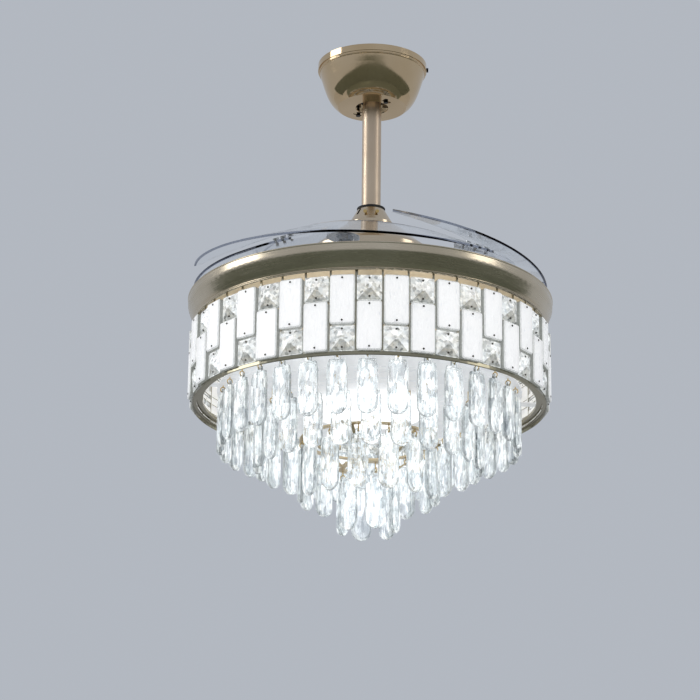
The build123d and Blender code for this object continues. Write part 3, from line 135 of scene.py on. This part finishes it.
key_aim = (0, 0, -0.38)
lamp_aim = (0, 0, -0.4)
softbox("key_softbox", (-2.6, -0.25, 0.65), key_aim, width=1.3, height=1.1, power=14)
softbox("fill_softbox", (2.6, -0.9, 0.6), lamp_aim, width=0.9, height=1.0, power=5,
        colour=(1.0, 0.97, 0.92))
softbox("back_softbox", (0.4, 2.2, 1.5), lamp_aim, width=2.0, height=1.2, power=16, mirrored=False)
softbox("low_softbox", (-0.8, -2.4, -1.9), lamp_aim, width=1.2, height=0.8, power=9, mirrored=False)

# Studio flags: an oval dark board under the fan, and a low dark wall curved round its front.
# Only gloss can see them, and they give the polished gold a dark side to mirror.
flag_colour = (0.17, 0.20, 0.17, 1)
board_place = Vector((0.1, -0.6, -2.2))
board_aim = Vector((0, -0.2, 0))
board_half_width = 3.4
board_half_height = 2.2
wall_reach = 3.0
wall_high = -0.5
wall_low = -2.3
wall_half_turn = math.radians(112)
flag_steps = 48


def new_finish(name):
    finish = bpy.data.materials.new(name)
    finish.use_nodes = True
    tree = finish.node_tree
    skin = tree.nodes["Principled BSDF"]
    return finish, tree, skin


def made_from(form, name, finish):
    mesh = bpy.data.meshes.new(name)
    form.to_mesh(mesh)
    form.free()
    mesh.materials.append(finish)
    thing = bpy.data.objects.new(name, mesh)
    scene.collection.objects.link(thing)
    return thing


def seen_by_gloss_only(thing):
    thing.visible_camera = False
    thing.visible_diffuse = False
    thing.visible_transmission = False
    thing.visible_shadow = False


flag_finish, _, flag_skin = new_finish("studio_flag")
flag_skin.inputs["Base Color"].default_value = flag_colour
board_form = bmesh.new()
bmesh.ops.create_circle(board_form, cap_ends=True, segments=flag_steps, radius=1)
board_turn = (board_aim - board_place).to_track_quat("Z", "Y").to_matrix().to_4x4()
board_oval = Matrix.Diagonal((board_half_width, board_half_height, 1, 1))
bmesh.ops.transform(board_form, matrix=Matrix.Translation(board_place) @ board_turn @ board_oval,
                    verts=board_form.verts)
board = made_from(board_form, "low_flag", flag_finish)
seen_by_gloss_only(board)

wall_form = bmesh.new()
wall_start = Matrix.Rotation(-math.pi / 2 - wall_half_turn, 4, "Z")
wall_points = [wall_form.verts.new(wall_start @ Vector((wall_reach, 0, rise)))
               for rise in (wall_high, wall_low)]
wall_edge = wall_form.edges.new(wall_points)
bmesh.ops.spin(wall_form, geom=wall_points + [wall_edge], cent=(0, 0, 0), axis=(0, 0, 1),
               angle=2 * wall_half_turn, steps=flag_steps)
wall = made_from(wall_form, "front_wall", flag_finish)
seen_by_gloss_only(wall)

# Floor: a plain pale sheet far below the fan.
# It only catches light and shadow.
floor_level = -2.6
floor_reach = 9.0
floor_colour = (0.62, 0.63, 0.65, 1)
floor_lift = (0.20, 0.21, 0.23, 1)
floor_rough = 0.9
floor_form = bmesh.new()
bmesh.ops.create_grid(floor_form, x_segments=1, y_segments=1, size=floor_reach)
bmesh.ops.translate(floor_form, verts=floor_form.verts, vec=(0, 0, floor_level))
floor_finish, floor_tree, floor_skin = new_finish("studio_floor")
floor_skin.inputs["Base Color"].default_value = floor_colour
floor_skin.inputs["Roughness"].default_value = floor_rough
floor_skin.inputs["Emission Color"].default_value = floor_lift
floor_path = floor_tree.nodes.new("ShaderNodeLightPath")
floor_tree.links.new(floor_path.outputs["Is Camera Ray"], floor_skin.inputs["Emission Strength"])
floor = made_from(floor_form, "studio_floor", floor_finish)

# Hanger bracket: zinc plated steel strap bent to a U, screwed to the ceiling box.
# Its finish is the dull, slightly cloudy grey of passivated zinc, which the motor's steel parts and
# the blade carrier share.
noise_low = 0.3
noise_high = 0.7
grain_detail = 4.0
soft_detail = 2.0
metal_grain_depth = 0.0004


def noise_on(tree, scale, detail, stretch=(1, 1, 1)):
    coords = tree.nodes.new("ShaderNodeTexCoord")
    place = tree.nodes.new("ShaderNodeMapping")
    place.inputs["Scale"].default_value = stretch
    cloud = tree.nodes.new("ShaderNodeTexNoise")
    cloud.inputs["Scale"].default_value = scale
    cloud.inputs["Detail"].default_value = detail
    tree.links.new(coords.outputs["Object"], place.inputs["Vector"])
    tree.links.new(place.outputs["Vector"], cloud.inputs["Vector"])
    return cloud.outputs["Fac"]


def two_tone(tree, pattern, low, high):
    ramp = tree.nodes.new("ShaderNodeValToRGB")
    ramp.color_ramp.elements[0].position = noise_low
    ramp.color_ramp.elements[1].position = noise_high
    ramp.color_ramp.elements[0].color = (*low, 1)
    ramp.color_ramp.elements[1].color = (*high, 1)
    tree.links.new(pattern, ramp.inputs[0])
    return ramp.outputs[0]


def between(tree, pattern, low, high):
    spread = tree.nodes.new("ShaderNodeMapRange")
    spread.inputs["From Min"].default_value = noise_low
    spread.inputs["From Max"].default_value = noise_high
    spread.inputs["To Min"].default_value = low
    spread.inputs["To Max"].default_value = high
    tree.links.new(pattern, spread.inputs["Value"])
    return spread.outputs[0]


def relief(tree, pattern, skin, strength, depth):
    bump = tree.nodes.new("ShaderNodeBump")
    bump.inputs["Strength"].default_value = strength
    bump.inputs["Distance"].default_value = depth
    tree.links.new(pattern, bump.inputs["Height"])
    tree.links.new(bump.outputs[0], skin.inputs["Normal"])


def metal(name, dark, light, smooth, rough, grain, bump, stretch=(1, 1, 1), cloud=9.0):
    finish, tree, skin = new_finish(name)
    grain_noise = noise_on(tree, grain, grain_detail, stretch)
    cloud_noise = noise_on(tree, cloud, soft_detail)
    tree.links.new(two_tone(tree, cloud_noise, dark, light), skin.inputs["Base Color"])
    tree.links.new(between(tree, grain_noise, smooth, rough), skin.inputs["Roughness"])
    skin.inputs["Metallic"].default_value = 1.0
    relief(tree, grain_noise, skin, bump, metal_grain_depth)
    return finish


def dress(finish, *names):
    for name in names:
        for place in nodes_of[name].material_slots:
            place.material = finish


zinc = metal("zinc_plate", dark=(0.60, 0.61, 0.61), light=(0.78, 0.79, 0.80), smooth=0.32, rough=0.5,
             grain=60.0, bump=0.08)
dress(zinc, "hanger_bracket", "cross_pins", "motor_yoke", "motor_base", "motor_screws", "shaft_nuts",
      "blade_carrier")

# Canopy: spun steel bowl with a polished champagne gold plate, rolled at the rim.
# The polish is near a mirror, with faint waves left by the spinning.
canopy_gold = metal("polished_champagne_gold", dark=(0.60, 0.45, 0.27), light=(0.70, 0.54, 0.35),
                    smooth=0.06, rough=0.12, grain=30.0, bump=0.04, stretch=(1, 1, 6), cloud=14.0)
dress(canopy_gold, "canopy")

# Canopy screws: three small screws with a burnt black finish, two in the base and one in the rim.
# Their heads are slightly rough.
black_screw = metal("blackened_steel", dark=(0.015, 0.014, 0.013), light=(0.05, 0.048, 0.045), smooth=0.3,
                    rough=0.5, grain=300.0, bump=0.1)
dress(black_screw, "canopy_screws")

# Remote receiver and light driver: moulded grey plastic boxes, fine spark texture all over.
# One clips to the bracket, the other stands on the tray.
plastic_grain_depth = 0.0003


def plastic(name, dark, light, smooth, rough, grain, bump):
    finish, tree, skin = new_finish(name)
    grain_noise = noise_on(tree, grain, soft_detail)
    tree.links.new(two_tone(tree, grain_noise, dark, light), skin.inputs["Base Color"])
    tree.links.new(between(tree, grain_noise, smooth, rough), skin.inputs["Roughness"])
    relief(tree, grain_noise, skin, bump, plastic_grain_depth)
    return finish


box_plastic = plastic("grey_box_plastic", dark=(0.36, 0.37, 0.38), light=(0.44, 0.45, 0.46), smooth=0.45,
                      rough=0.6, grain=900.0, bump=0.25)
dress(box_plastic, "remote_receiver", "led_driver")

# Hanger ball and motor leads: black moulded nylon, and a braided black sleeve over the wires.
# Both are dull with a fine grain.
black_nylon = plastic("black_nylon", dark=(0.012, 0.012, 0.014), light=(0.03, 0.03, 0.032), smooth=0.4,
                      rough=0.55, grain=700.0, bump=0.3)
dress(black_nylon, "hanger_ball", "motor_leads")

# Downrod: drawn steel tube in satin champagne gold, pinned to the hanger ball and the motor's yoke.
# The grain runs along the tube.
rod_gold = metal("satin_champagne_rod", dark=(0.62, 0.49, 0.36), light=(0.74, 0.60, 0.45), smooth=0.34,
                 rough=0.46, grain=90.0, bump=0.05, stretch=(5, 5, 0.4))
dress(rod_gold, "downrod")

# Collar ring: a soft black rubber ring between the rod and the coupling cover.
# It is matt and slightly dusty.
collar_rubber = plastic("collar_rubber", dark=(0.010, 0.010, 0.010), light=(0.028, 0.028, 0.027),
                        smooth=0.6, rough=0.8, grain=400.0, bump=0.3)
dress(collar_rubber, "collar_ring")

# Coupling cover and motor top cover: spun steel in glossy champagne lacquer over gold.
# The spinning leaves very fine rings about the axis.
cover_gold = metal("spun_champagne_gold", dark=(0.62, 0.51, 0.37), light=(0.72, 0.60, 0.46), smooth=0.12,
                   rough=0.22, grain=50.0, bump=0.06, stretch=(0.6, 0.6, 22))
dress(cover_gold, "coupling_cover", "motor_top_cover")

# Small gold hardware: cover screws and hanging hooks in bright gold plate.
# They are smooth enough to sparkle.
bright_gold = metal("bright_gold_plate", dark=(0.60, 0.42, 0.16), light=(0.74, 0.55, 0.27), smooth=0.12,
                    rough=0.22, grain=300.0, bump=0.03)
dress(bright_gold, "cover_screws", "pendant_hooks")

# Crystal pins: small dark bronze studs through each crystal's ends into the frame.
# From afar they are black dots.
dark_bronze = metal("dark_bronze", dark=(0.03, 0.025, 0.02), light=(0.08, 0.07, 0.055), smooth=0.3,
                    rough=0.45, grain=300.0, bump=0.05)
dress(dark_bronze, "crystal_pins")

# Motor shaft, bearings and pivot pins: ground bright steel.
# Fine grinding lines run round each piece.
ground_steel = metal("ground_steel", dark=(0.58, 0.59, 0.60), light=(0.70, 0.71, 0.72), smooth=0.14,
                     rough=0.26, grain=60.0, bump=0.05, stretch=(1, 1, 18))
dress(ground_steel, "motor_shaft", "bearing_inner_rings", "bearing_outer_rings", "bearing_balls",
      "pivot_pins")

# Stator core: a stack of thin electrical steel sheets, blue grey at the cut edges.
# The sheet edges show as close horizontal lines.
core_steel = metal("lamination_stack", dark=(0.16, 0.18, 0.21), light=(0.34, 0.36, 0.39), smooth=0.35,
                   rough=0.55, grain=60.0, bump=0.5, stretch=(0.3, 0.3, 40))
dress(core_steel, "stator_core")

# Stator windings: enamelled copper wire, wound in two even layers round each of the twelve poles.
# The turns show as ridges under a warm varnish.
pole_count = 12
wire_thick = 0.0019
coil_start = 0.037
coil_turns = 18
coil_middle_z = -0.3035
layer_halves = ((0.0050, 0.0130), (0.00685, 0.01485))
corner_cut = 0.0014
loop_sides = ((1, 1), (-1, 1), (-1, -1), (1, -1))
winding_copper = metal("enamelled_copper", dark=(0.36, 0.12, 0.04), light=(0.62, 0.26, 0.10), smooth=0.22,
                       rough=0.35, grain=90.0, bump=0.2, stretch=(6, 6, 0.6))
winding_curve = bpy.data.curves.new("copper_windings", "CURVE")
winding_curve.dimensions = "3D"
winding_curve.bevel_depth = wire_thick / 2
winding_curve.bevel_resolution = 1
for pole in range(pole_count):
    pole_turn = Matrix.Rotation(2 * math.pi * pole / pole_count, 4, "Z")
    for half_wide, half_high in layer_halves:
        for turn in range(coil_turns):
            out = coil_start + wire_thick * (turn + 0.5)
            corners = []
            for wide, high in loop_sides:
                first = (wide * half_wide, high * (half_high - corner_cut))
                second = (wide * (half_wide - corner_cut), high * half_high)
                corners += [first, second] if wide == high else [second, first]
            loop = winding_curve.splines.new("POLY")
            loop.points.add(len(corners) - 1)
            loop.use_cyclic_u = True
            for point, (side, rise) in zip(loop.points, corners):
                point.co = (*(pole_turn @ Vector((out, side, coil_middle_z + rise))), 1)
copper_windings = bpy.data.objects.new("copper_windings", winding_curve)
scene.collection.objects.link(copper_windings)
winding_curve.materials.append(winding_copper)
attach(copper_windings, "drop")
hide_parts("stator_windings")

# Magnets: dark sintered blocks glued inside the motor cover.
# They are granular and almost matt.
magnet_ferrite = plastic("sintered_magnet", dark=(0.05, 0.05, 0.055), light=(0.11, 0.11, 0.115),
                         smooth=0.5, rough=0.7, grain=500.0, bump=0.4)
dress(magnet_ferrite, "magnets")

# Return springs: four torsion springs of oiled spring steel wire, one round the pin in each blade hub.
# Each is a close helix of five turns.
hub_reach = 0.150
first_hub_angle = math.radians(346.2)
hub_count = 4
coil_r = 0.0082
spring_wire_r = 0.0008
spring_wire_sides = 8
spring_turns = 5
turn_steps = 28
spring_steel = metal("oiled_spring_steel", dark=(0.10, 0.10, 0.10), light=(0.20, 0.20, 0.20), smooth=0.25,
                     rough=0.4, grain=200.0, bump=0.1)
spring_low, spring_high = (corner[2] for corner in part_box("return_springs"))
spring_steps = spring_turns * turn_steps
spring_climb = (spring_high - spring_low - 2 * spring_wire_r) / spring_steps
spring_form = bmesh.new()
for hub in range(hub_count):
    hub_angle = first_hub_angle + 2 * math.pi * hub / hub_count
    hub_place = Vector((hub_reach * math.cos(hub_angle), hub_reach * math.sin(hub_angle), 0))
    wire_place = hub_place + Vector((coil_r, 0, spring_low + spring_wire_r))
    wire_stand = Matrix.Translation(wire_place) @ Matrix.Rotation(math.pi / 2, 4, "X")
    wire_end = bmesh.ops.create_circle(spring_form, cap_ends=True, segments=spring_wire_sides,
                                       radius=spring_wire_r, matrix=wire_stand)
    wire_cap = wire_end["verts"][0].link_faces[0]
    bmesh.ops.spin(spring_form, geom=wire_end["verts"] + list(wire_cap.edges) + [wire_cap], cent=hub_place,
                   axis=(0, 0, 1), dvec=(0, 0, spring_climb), angle=2 * math.pi * spring_turns,
                   steps=spring_steps, use_merge=False)
bmesh.ops.recalc_face_normals(spring_form, faces=spring_form.faces)
spring_coils = made_from(spring_form, "spring_coils", spring_steel)
spring_coils.data.shade_smooth()
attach(spring_coils, "rotor")
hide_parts("return_springs")

# Synchronising gear: a moulded grey acetal ring, with a slight gloss on the teeth.
# It turns the four hubs together.
acetal = plastic("grey_acetal", dark=(0.50, 0.51, 0.52), light=(0.58, 0.59, 0.60), smooth=0.3, rough=0.42,
                 grain=350.0, bump=0.12)
dress(acetal, "sync_gear")

# Blade holders: hub, pinion and arm moulded as one from milky clear polycarbonate.
# Light goes most of the way through, so they stay pale behind the blades.
blade_numbers = (1, 2, 3, 4)
milky_clearness = 0.93
milky_bend = 1.08
milky = plastic("milky_polycarbonate", dark=(0.88, 0.90, 0.92), light=(0.94, 0.95, 0.97), smooth=0.12,
                rough=0.2, grain=350.0, bump=0.03)
milky_skin = milky.node_tree.nodes["Principled BSDF"]
milky_skin.inputs["Transmission Weight"].default_value = milky_clearness
milky_skin.inputs["IOR"].default_value = milky_bend
dress(milky, *["blade_holder_%d" % number for number in blade_numbers])

# Blade screws: small zinc screws through each blade's root.
# They share the bracket's plate.
dress(zinc, *["blade_screws_%d" % number for number in blade_numbers])

# Blades: clear acrylic ribbons, moulded thin, with painted shade along their polished inner and outer
# edges as dark lines.
# The faces carry a trace of grey and the faintest ripple.
blade_inner_r = 0.144
blade_outer_r = 0.243
edge_wide = 0.0022
edge_soft = 0.0006
edge_shade_colour = (0.17, 0.19, 0.25, 1)
face_colour = (0.955, 0.97, 0.985, 1)
acrylic_bend = 1.09
ripple_scale = 12.0
ripple_detail = 1.0
ripple_rough = 0.03
ripple_bump = 0.02
ripple_depth = 0.0005
blade_acrylic, tree, skin = new_finish("clear_acrylic")
ripple = noise_on(tree, ripple_scale, ripple_detail)
coords = tree.nodes.new("ShaderNodeTexCoord")
flatten = tree.nodes.new("ShaderNodeVectorMath")
flatten.operation = "MULTIPLY"
flatten.inputs[1].default_value = (1, 1, 0)
reach = tree.nodes.new("ShaderNodeVectorMath")
reach.operation = "LENGTH"
across = tree.nodes.new("ShaderNodeMapRange")
across.inputs["From Min"].default_value = blade_inner_r
across.inputs["From Max"].default_value = blade_outer_r
edge_share = edge_wide / (blade_outer_r - blade_inner_r)
soft_share = edge_soft / (blade_outer_r - blade_inner_r)
# Painted shade: a thin dark strip at the blade's inner and outer reach stands for the dark look of the
# polished edges.
edge_ramp = tree.nodes.new("ShaderNodeValToRGB")
edge_stops = edge_ramp.color_ramp.elements
edge_stops[0].position = edge_share
edge_stops[1].position = 1 - edge_share
edge_stops.new(edge_share + soft_share)
edge_stops.new(1 - edge_share - soft_share)
for stop, colour in zip(edge_stops, (edge_shade_colour, face_colour, face_colour, edge_shade_colour)):
    stop.color = colour
tree.links.new(coords.outputs["Object"], flatten.inputs[0])
tree.links.new(flatten.outputs[0], reach.inputs[0])
tree.links.new(reach.outputs["Value"], across.inputs["Value"])
tree.links.new(across.outputs[0], edge_ramp.inputs[0])
tree.links.new(edge_ramp.outputs[0], skin.inputs["Base Color"])
tree.links.new(between(tree, ripple, 0.0, ripple_rough), skin.inputs["Roughness"])
skin.inputs["Transmission Weight"].default_value = 1.0
skin.inputs["IOR"].default_value = acrylic_bend
relief(tree, ripple, skin, ripple_bump, ripple_depth)
dress(blade_acrylic, *["blade_%d" % number for number in blade_numbers])

# Drum pan, inner and bottom rings and their hangers: pressed sheet in satin gold paint.
# The paint has a light orange peel.
sheet_gold = metal("satin_gold_sheet", dark=(0.58, 0.46, 0.29), light=(0.68, 0.56, 0.38), smooth=0.28,
                   rough=0.42, grain=120.0, bump=0.07)
dress(sheet_gold, "drum_top_pan", "inner_ring", "bottom_ring", "ring_hangers")

# Lower ring: a rolled ring under the drum's crystals, polished so that it mirrors the dark room below.
# It reads grey with an olive cast.
ring_gold = metal("polished_dark_gold", dark=(0.26, 0.24, 0.17), light=(0.40, 0.37, 0.27), smooth=0.10,
                  rough=0.2, grain=60.0, bump=0.03)
dress(ring_gold, "lower_ring")

# Foot trim: a thin polished strip rolled round under the crystals, seated against the lower ring.
# It closes the drum's lower edge with one dark line.
trim_inner_r = 0.2338
trim_outer_r = 0.2405
trim_gap = 0.0003
trim_deep = 0.0042
trim_lip = 0.0012
trim_steps = 128
trim_top = min(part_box("tall_crystals")[0][2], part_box("square_crystals")[0][2]) - trim_gap
trim_line = [(trim_inner_r, trim_top), (trim_outer_r, trim_top), (trim_outer_r, trim_top - trim_deep),
             (trim_outer_r - trim_lip, trim_top - trim_deep - trim_lip / 2),
             (trim_outer_r - 2 * trim_lip, trim_top - trim_lip), (trim_inner_r, trim_top - trim_lip)]
trim_form = bmesh.new()
trim_points = [trim_form.verts.new((out, 0, rise)) for out, rise in trim_line]
trim_edges = [trim_form.edges.new(pair) for pair in zip(trim_points, trim_points[1:] + trim_points[:1])]
bmesh.ops.spin(trim_form, geom=trim_points + trim_edges, cent=(0, 0, 0), axis=(0, 0, 1), angle=2 * math.pi,
               steps=trim_steps, use_merge=True)
bmesh.ops.recalc_face_normals(trim_form, faces=trim_form.faces)
foot_trim = made_from(trim_form, "foot_trim", ring_gold)
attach(foot_trim, "drop")

# Light tray: pressed steel dish in white enamel, which throws the lamps' light back at the crystals.
# The enamel has a slight ripple, and its own weak glow stands for the lamps' light on it.
enamel_glow_colour = (0.95, 0.97, 1.0, 1)
enamel_glow = 0.22
white_enamel = plastic("white_enamel", dark=(0.84, 0.85, 0.86), light=(0.90, 0.91, 0.92), smooth=0.2,
                       rough=0.34, grain=60.0, bump=0.05)
enamel_skin = white_enamel.node_tree.nodes["Principled BSDF"]
enamel_skin.inputs["Emission Color"].default_value = enamel_glow_colour
enamel_skin.inputs["Emission Strength"].default_value = enamel_glow
dress(white_enamel, "light_tray")

# Drum band: rolled strip, brushed round the drum and plated gold, with a rolled edge and two beads.
# The brushing stretches every reflection into an upright streak.
band_gold = metal("brushed_gold_band", dark=(0.56, 0.48, 0.35), light=(0.70, 0.61, 0.47), smooth=0.16,
                  rough=0.3, grain=40.0, bump=0.12, stretch=(0.5, 0.5, 30))
dress(band_gold, "drum_band")

# Crystal frame: hoops and strips behind the drum's crystals, greyer satin gold outside.
# The inner faces carry a painted glow that stands for the lamps' light on them, and it throws light back
# at the crystals.
frame_glow = 0.8
frame_glow_stops = [(0.0, (0.80, 0.82, 0.84)), (0.3, (0.55, 0.56, 0.56)), (0.45, (0.0, 0.0, 0.0))]


def tones(tree, pattern, stops):
    ramp = tree.nodes.new("ShaderNodeValToRGB")
    ramp.color_ramp.elements[0].position = stops[0][0]
    ramp.color_ramp.elements[1].position = stops[-1][0]
    ramp.color_ramp.elements[0].color = (*stops[0][1], 1)
    ramp.color_ramp.elements[1].color = (*stops[-1][1], 1)
    for place, colour in stops[1:-1]:
        ramp.color_ramp.elements.new(place).color = (*colour, 1)
    tree.links.new(pattern, ramp.inputs[0])
    return ramp.outputs[0]


def facing_out(tree):
    coords = tree.nodes.new("ShaderNodeTexCoord")
    level = tree.nodes.new("ShaderNodeVectorMath")
    level.operation = "MULTIPLY"
    level.inputs[1].default_value = (1, 1, 0)
    outward = tree.nodes.new("ShaderNodeVectorMath")
    outward.operation = "NORMALIZE"
    squareness = tree.nodes.new("ShaderNodeVectorMath")
    squareness.operation = "DOT_PRODUCT"
    tree.links.new(coords.outputs["Object"], level.inputs[0])
    tree.links.new(level.outputs[0], outward.inputs[0])
    tree.links.new(outward.outputs[0], squareness.inputs[0])
    tree.links.new(coords.outputs["Normal"], squareness.inputs[1])
    return squareness.outputs["Value"]


frame_gold = metal("grey_gold_frame", dark=(0.34, 0.32, 0.25), light=(0.46, 0.43, 0.34), smooth=0.28,
                   rough=0.42, grain=120.0, bump=0.07)
frame_tree = frame_gold.node_tree
frame_skin = frame_tree.nodes["Principled BSDF"]
# Painted light: faces turned inward to the drum glow pale, faces turned outward don't.
frame_side = frame_tree.nodes.new("ShaderNodeMapRange")
frame_side.inputs["From Min"].default_value = -1
frame_tree.links.new(facing_out(frame_tree), frame_side.inputs["Value"])
frame_lit = tones(frame_tree, frame_side.outputs[0], frame_glow_stops)
frame_tree.links.new(frame_lit, frame_skin.inputs["Emission Color"])
frame_skin.inputs["Emission Strength"].default_value = frame_glow
dress(frame_gold, "crystal_frame")

# Tall drum crystals: pressed crystal bars with a frosted back, with a painted glow that stands for the
# lamps behind them.
# Fine upright ribs and a dusting of specks break up the white, and painted shade makes the ground sides
# grey.
white = (1.0, 1.0, 1.0)
facet_depth = 0.003
bar_tones = [(0.0, (0.90, 0.91, 0.92)), (0.12, (0.96, 0.97, 0.98)), (1.0, white)]
bar_glow = [(0.0, (0.62, 0.65, 0.68)), (0.10, (0.88, 0.90, 0.92)), (0.3, (0.97, 0.98, 1.0)), (1.0, white)]
bar_side_shade = [(0.0, (0.26, 0.27, 0.25)), (0.5, (0.45, 0.46, 0.45)), (0.8, (0.78, 0.79, 0.78)),
             (0.95, white)]


def shards(tree, count, stretch):
    coords = tree.nodes.new("ShaderNodeTexCoord")
    place = tree.nodes.new("ShaderNodeMapping")
    place.inputs["Scale"].default_value = stretch
    splinters = tree.nodes.new("ShaderNodeTexVoronoi")
    splinters.inputs["Scale"].default_value = count
    apart = tree.nodes.new("ShaderNodeSeparateColor")
    tree.links.new(coords.outputs["Object"], place.inputs["Vector"])
    tree.links.new(place.outputs["Vector"], splinters.inputs["Vector"])
    tree.links.new(splinters.outputs["Color"], apart.inputs[0])
    return splinters, apart


def shade(finish, colours):
    tree = finish.node_tree
    skin = tree.nodes["Principled BSDF"]
    for socket in ("Base Color", "Emission Color"):
        blend = tree.nodes.new("ShaderNodeMix")
        blend.data_type = "RGBA"
        blend.blend_type = "MULTIPLY"
        blend.inputs["Factor"].default_value = 1
        tree.links.new(skin.inputs[socket].links[0].from_socket, blend.inputs["A"])
        tree.links.new(colours, blend.inputs["B"])
        tree.links.new(blend.outputs["Result"], skin.inputs[socket])


def shade_sides(finish, stops):
    tree = finish.node_tree
    size = tree.nodes.new("ShaderNodeMath")
    size.operation = "ABSOLUTE"
    tree.links.new(facing_out(tree), size.inputs[0])
    shade(finish, tones(tree, size.outputs[0], stops))


# Each cut crystal's emission glow is painted light, standing for the lamps' light inside the drum.
def cut_crystal(name, count, stretch, clearness, glow, bend, facet, tone_stops, glow_stops, rough=0.04):
    finish, tree, skin = new_finish(name)
    splinters, apart = shards(tree, count, stretch)
    tree.links.new(tones(tree, apart.outputs[0], tone_stops), skin.inputs["Base Color"])
    tree.links.new(tones(tree, apart.outputs[1], glow_stops), skin.inputs["Emission Color"])
    tree.links.new(between(tree, apart.outputs[2], rough / 2, rough), skin.inputs["Roughness"])
    skin.inputs["Emission Strength"].default_value = glow
    skin.inputs["Transmission Weight"].default_value = clearness
    skin.inputs["IOR"].default_value = bend
    relief(tree, splinters.outputs["Distance"], skin, facet, facet_depth)
    return finish


bar_crystal = cut_crystal("bar_crystal", count=700.0, stretch=(1, 1, 0.25), clearness=0.2, glow=0.3,
                          bend=1.5, facet=0.2, tone_stops=bar_tones, glow_stops=bar_glow, rough=0.3)
# Painted shade: faces turned sideways to the drum are darkened towards grey.
shade_sides(bar_crystal, bar_side_shade)
dress(bar_crystal, "tall_crystals")

# Square crystals: small pyramids cut in clear crystal, between the bars.
# Their splintered facets mix grey, white and faint colours under a painted glow, and painted shade darkens
# the lower facets and the sideways faces.
square_tones = [(0.0, (0.34, 0.34, 0.32)), (0.2, (0.72, 0.77, 0.80)), (0.4, (0.97, 0.98, 1.0)),
                (0.7, (0.92, 0.92, 0.86)), (1.0, white)]
square_glow = [(0.0, (0.06, 0.06, 0.06)), (0.35, (0.50, 0.52, 0.54)), (0.6, (0.90, 0.92, 0.94)),
               (1.0, white)]
square_side_shade = [(0.0, (0.26, 0.27, 0.25)), (0.5, (0.5, 0.5, 0.48)), (0.75, white)]
facet_shade_stops = [(0.0, (0.46, 0.46, 0.44)), (0.3, (0.58, 0.58, 0.56)), (0.5, (0.90, 0.91, 0.91)),
               (1.0, white)]
facet_lean = 0.3
square_crystal = cut_crystal("square_crystal", count=240.0, stretch=(1, 1, 1), clearness=0.6, glow=0.42,
                             bend=1.52, facet=0.1, tone_stops=square_tones, glow_stops=square_glow)
square_tree = square_crystal.node_tree
# Painted shade: facets facing down are darker, facets facing up lighter.
facet_side = square_tree.nodes.new("ShaderNodeTexCoord")
facet_split = square_tree.nodes.new("ShaderNodeSeparateXYZ")
facet_range = square_tree.nodes.new("ShaderNodeMapRange")
facet_range.inputs["From Min"].default_value = -facet_lean
facet_range.inputs["From Max"].default_value = facet_lean
square_tree.links.new(facet_side.outputs["Normal"], facet_split.inputs[0])
square_tree.links.new(facet_split.outputs["Z"], facet_range.inputs["Value"])
shade(square_crystal, tones(square_tree, facet_range.outputs[0], facet_shade_stops))
# Painted shade: faces turned sideways to the drum are darkened towards grey.
shade_sides(square_crystal, square_side_shade)
dress(square_crystal, "square_crystals")

# Hanging crystals: flat tongues of clear crystal with polished bevels, in four tiers.
# A painted glow shows long splinters of white and grey inside them as painted glints, and painted shade
# darkens the bevels.
tongue_tones = [(0.0, (0.62, 0.66, 0.68)), (0.25, (0.86, 0.90, 0.92)), (0.55, (0.98, 0.99, 1.0)),
                (1.0, white)]
tongue_glow = [(0.0, (0.02, 0.02, 0.025)), (0.4, (0.14, 0.16, 0.17)), (0.7, (0.48, 0.51, 0.52)),
               (0.9, (1.0, 1.0, 0.97)), (1.0, white)]
tongue_bevel_shade = [(0.0, (0.30, 0.31, 0.31)), (0.6, (0.55, 0.57, 0.57)), (0.88, white)]
tongue_crystal = cut_crystal("tongue_crystal", count=230.0, stretch=(1, 1, 0.35), clearness=0.9, glow=0.52,
                             bend=1.35, facet=0.7, tone_stops=tongue_tones, glow_stops=tongue_glow)
# Painted shade: the bevels and sides, turned away from the drum's outward direction, are darkened.
shade_sides(tongue_crystal, tongue_bevel_shade)
dress(tongue_crystal, "outer_pendants", "middle_pendants", "inner_pendants", "bottom_pendants")

# Lamp boards and diffusers: white boards under opal covers, lit white from behind.
# The panel under the tray is the brightest thing on the fan.
haze_scale = 45.0
haze_dim = 0.96
opal_smooth = 0.35
opal_rough = 0.5


def opal(name, colour, glow):
    finish, tree, skin = new_finish(name)
    haze = noise_on(tree, haze_scale, soft_detail)
    hazed = [tone * haze_dim for tone in colour]
    tree.links.new(two_tone(tree, haze, hazed, colour), skin.inputs["Base Color"])
    tree.links.new(between(tree, haze, opal_smooth, opal_rough), skin.inputs["Roughness"])
    skin.inputs["Emission Color"].default_value = (*colour, 1)
    skin.inputs["Emission Strength"].default_value = glow
    return finish


dress(opal("panel_opal", (0.98, 0.99, 1.0), glow=0.9), "panel_diffuser")
dress(opal("drum_opal", (0.97, 0.985, 1.0), glow=0.7), "drum_diffuser")
dress(opal("lamp_board", (0.97, 0.97, 0.94), glow=0.3), "led_boards")
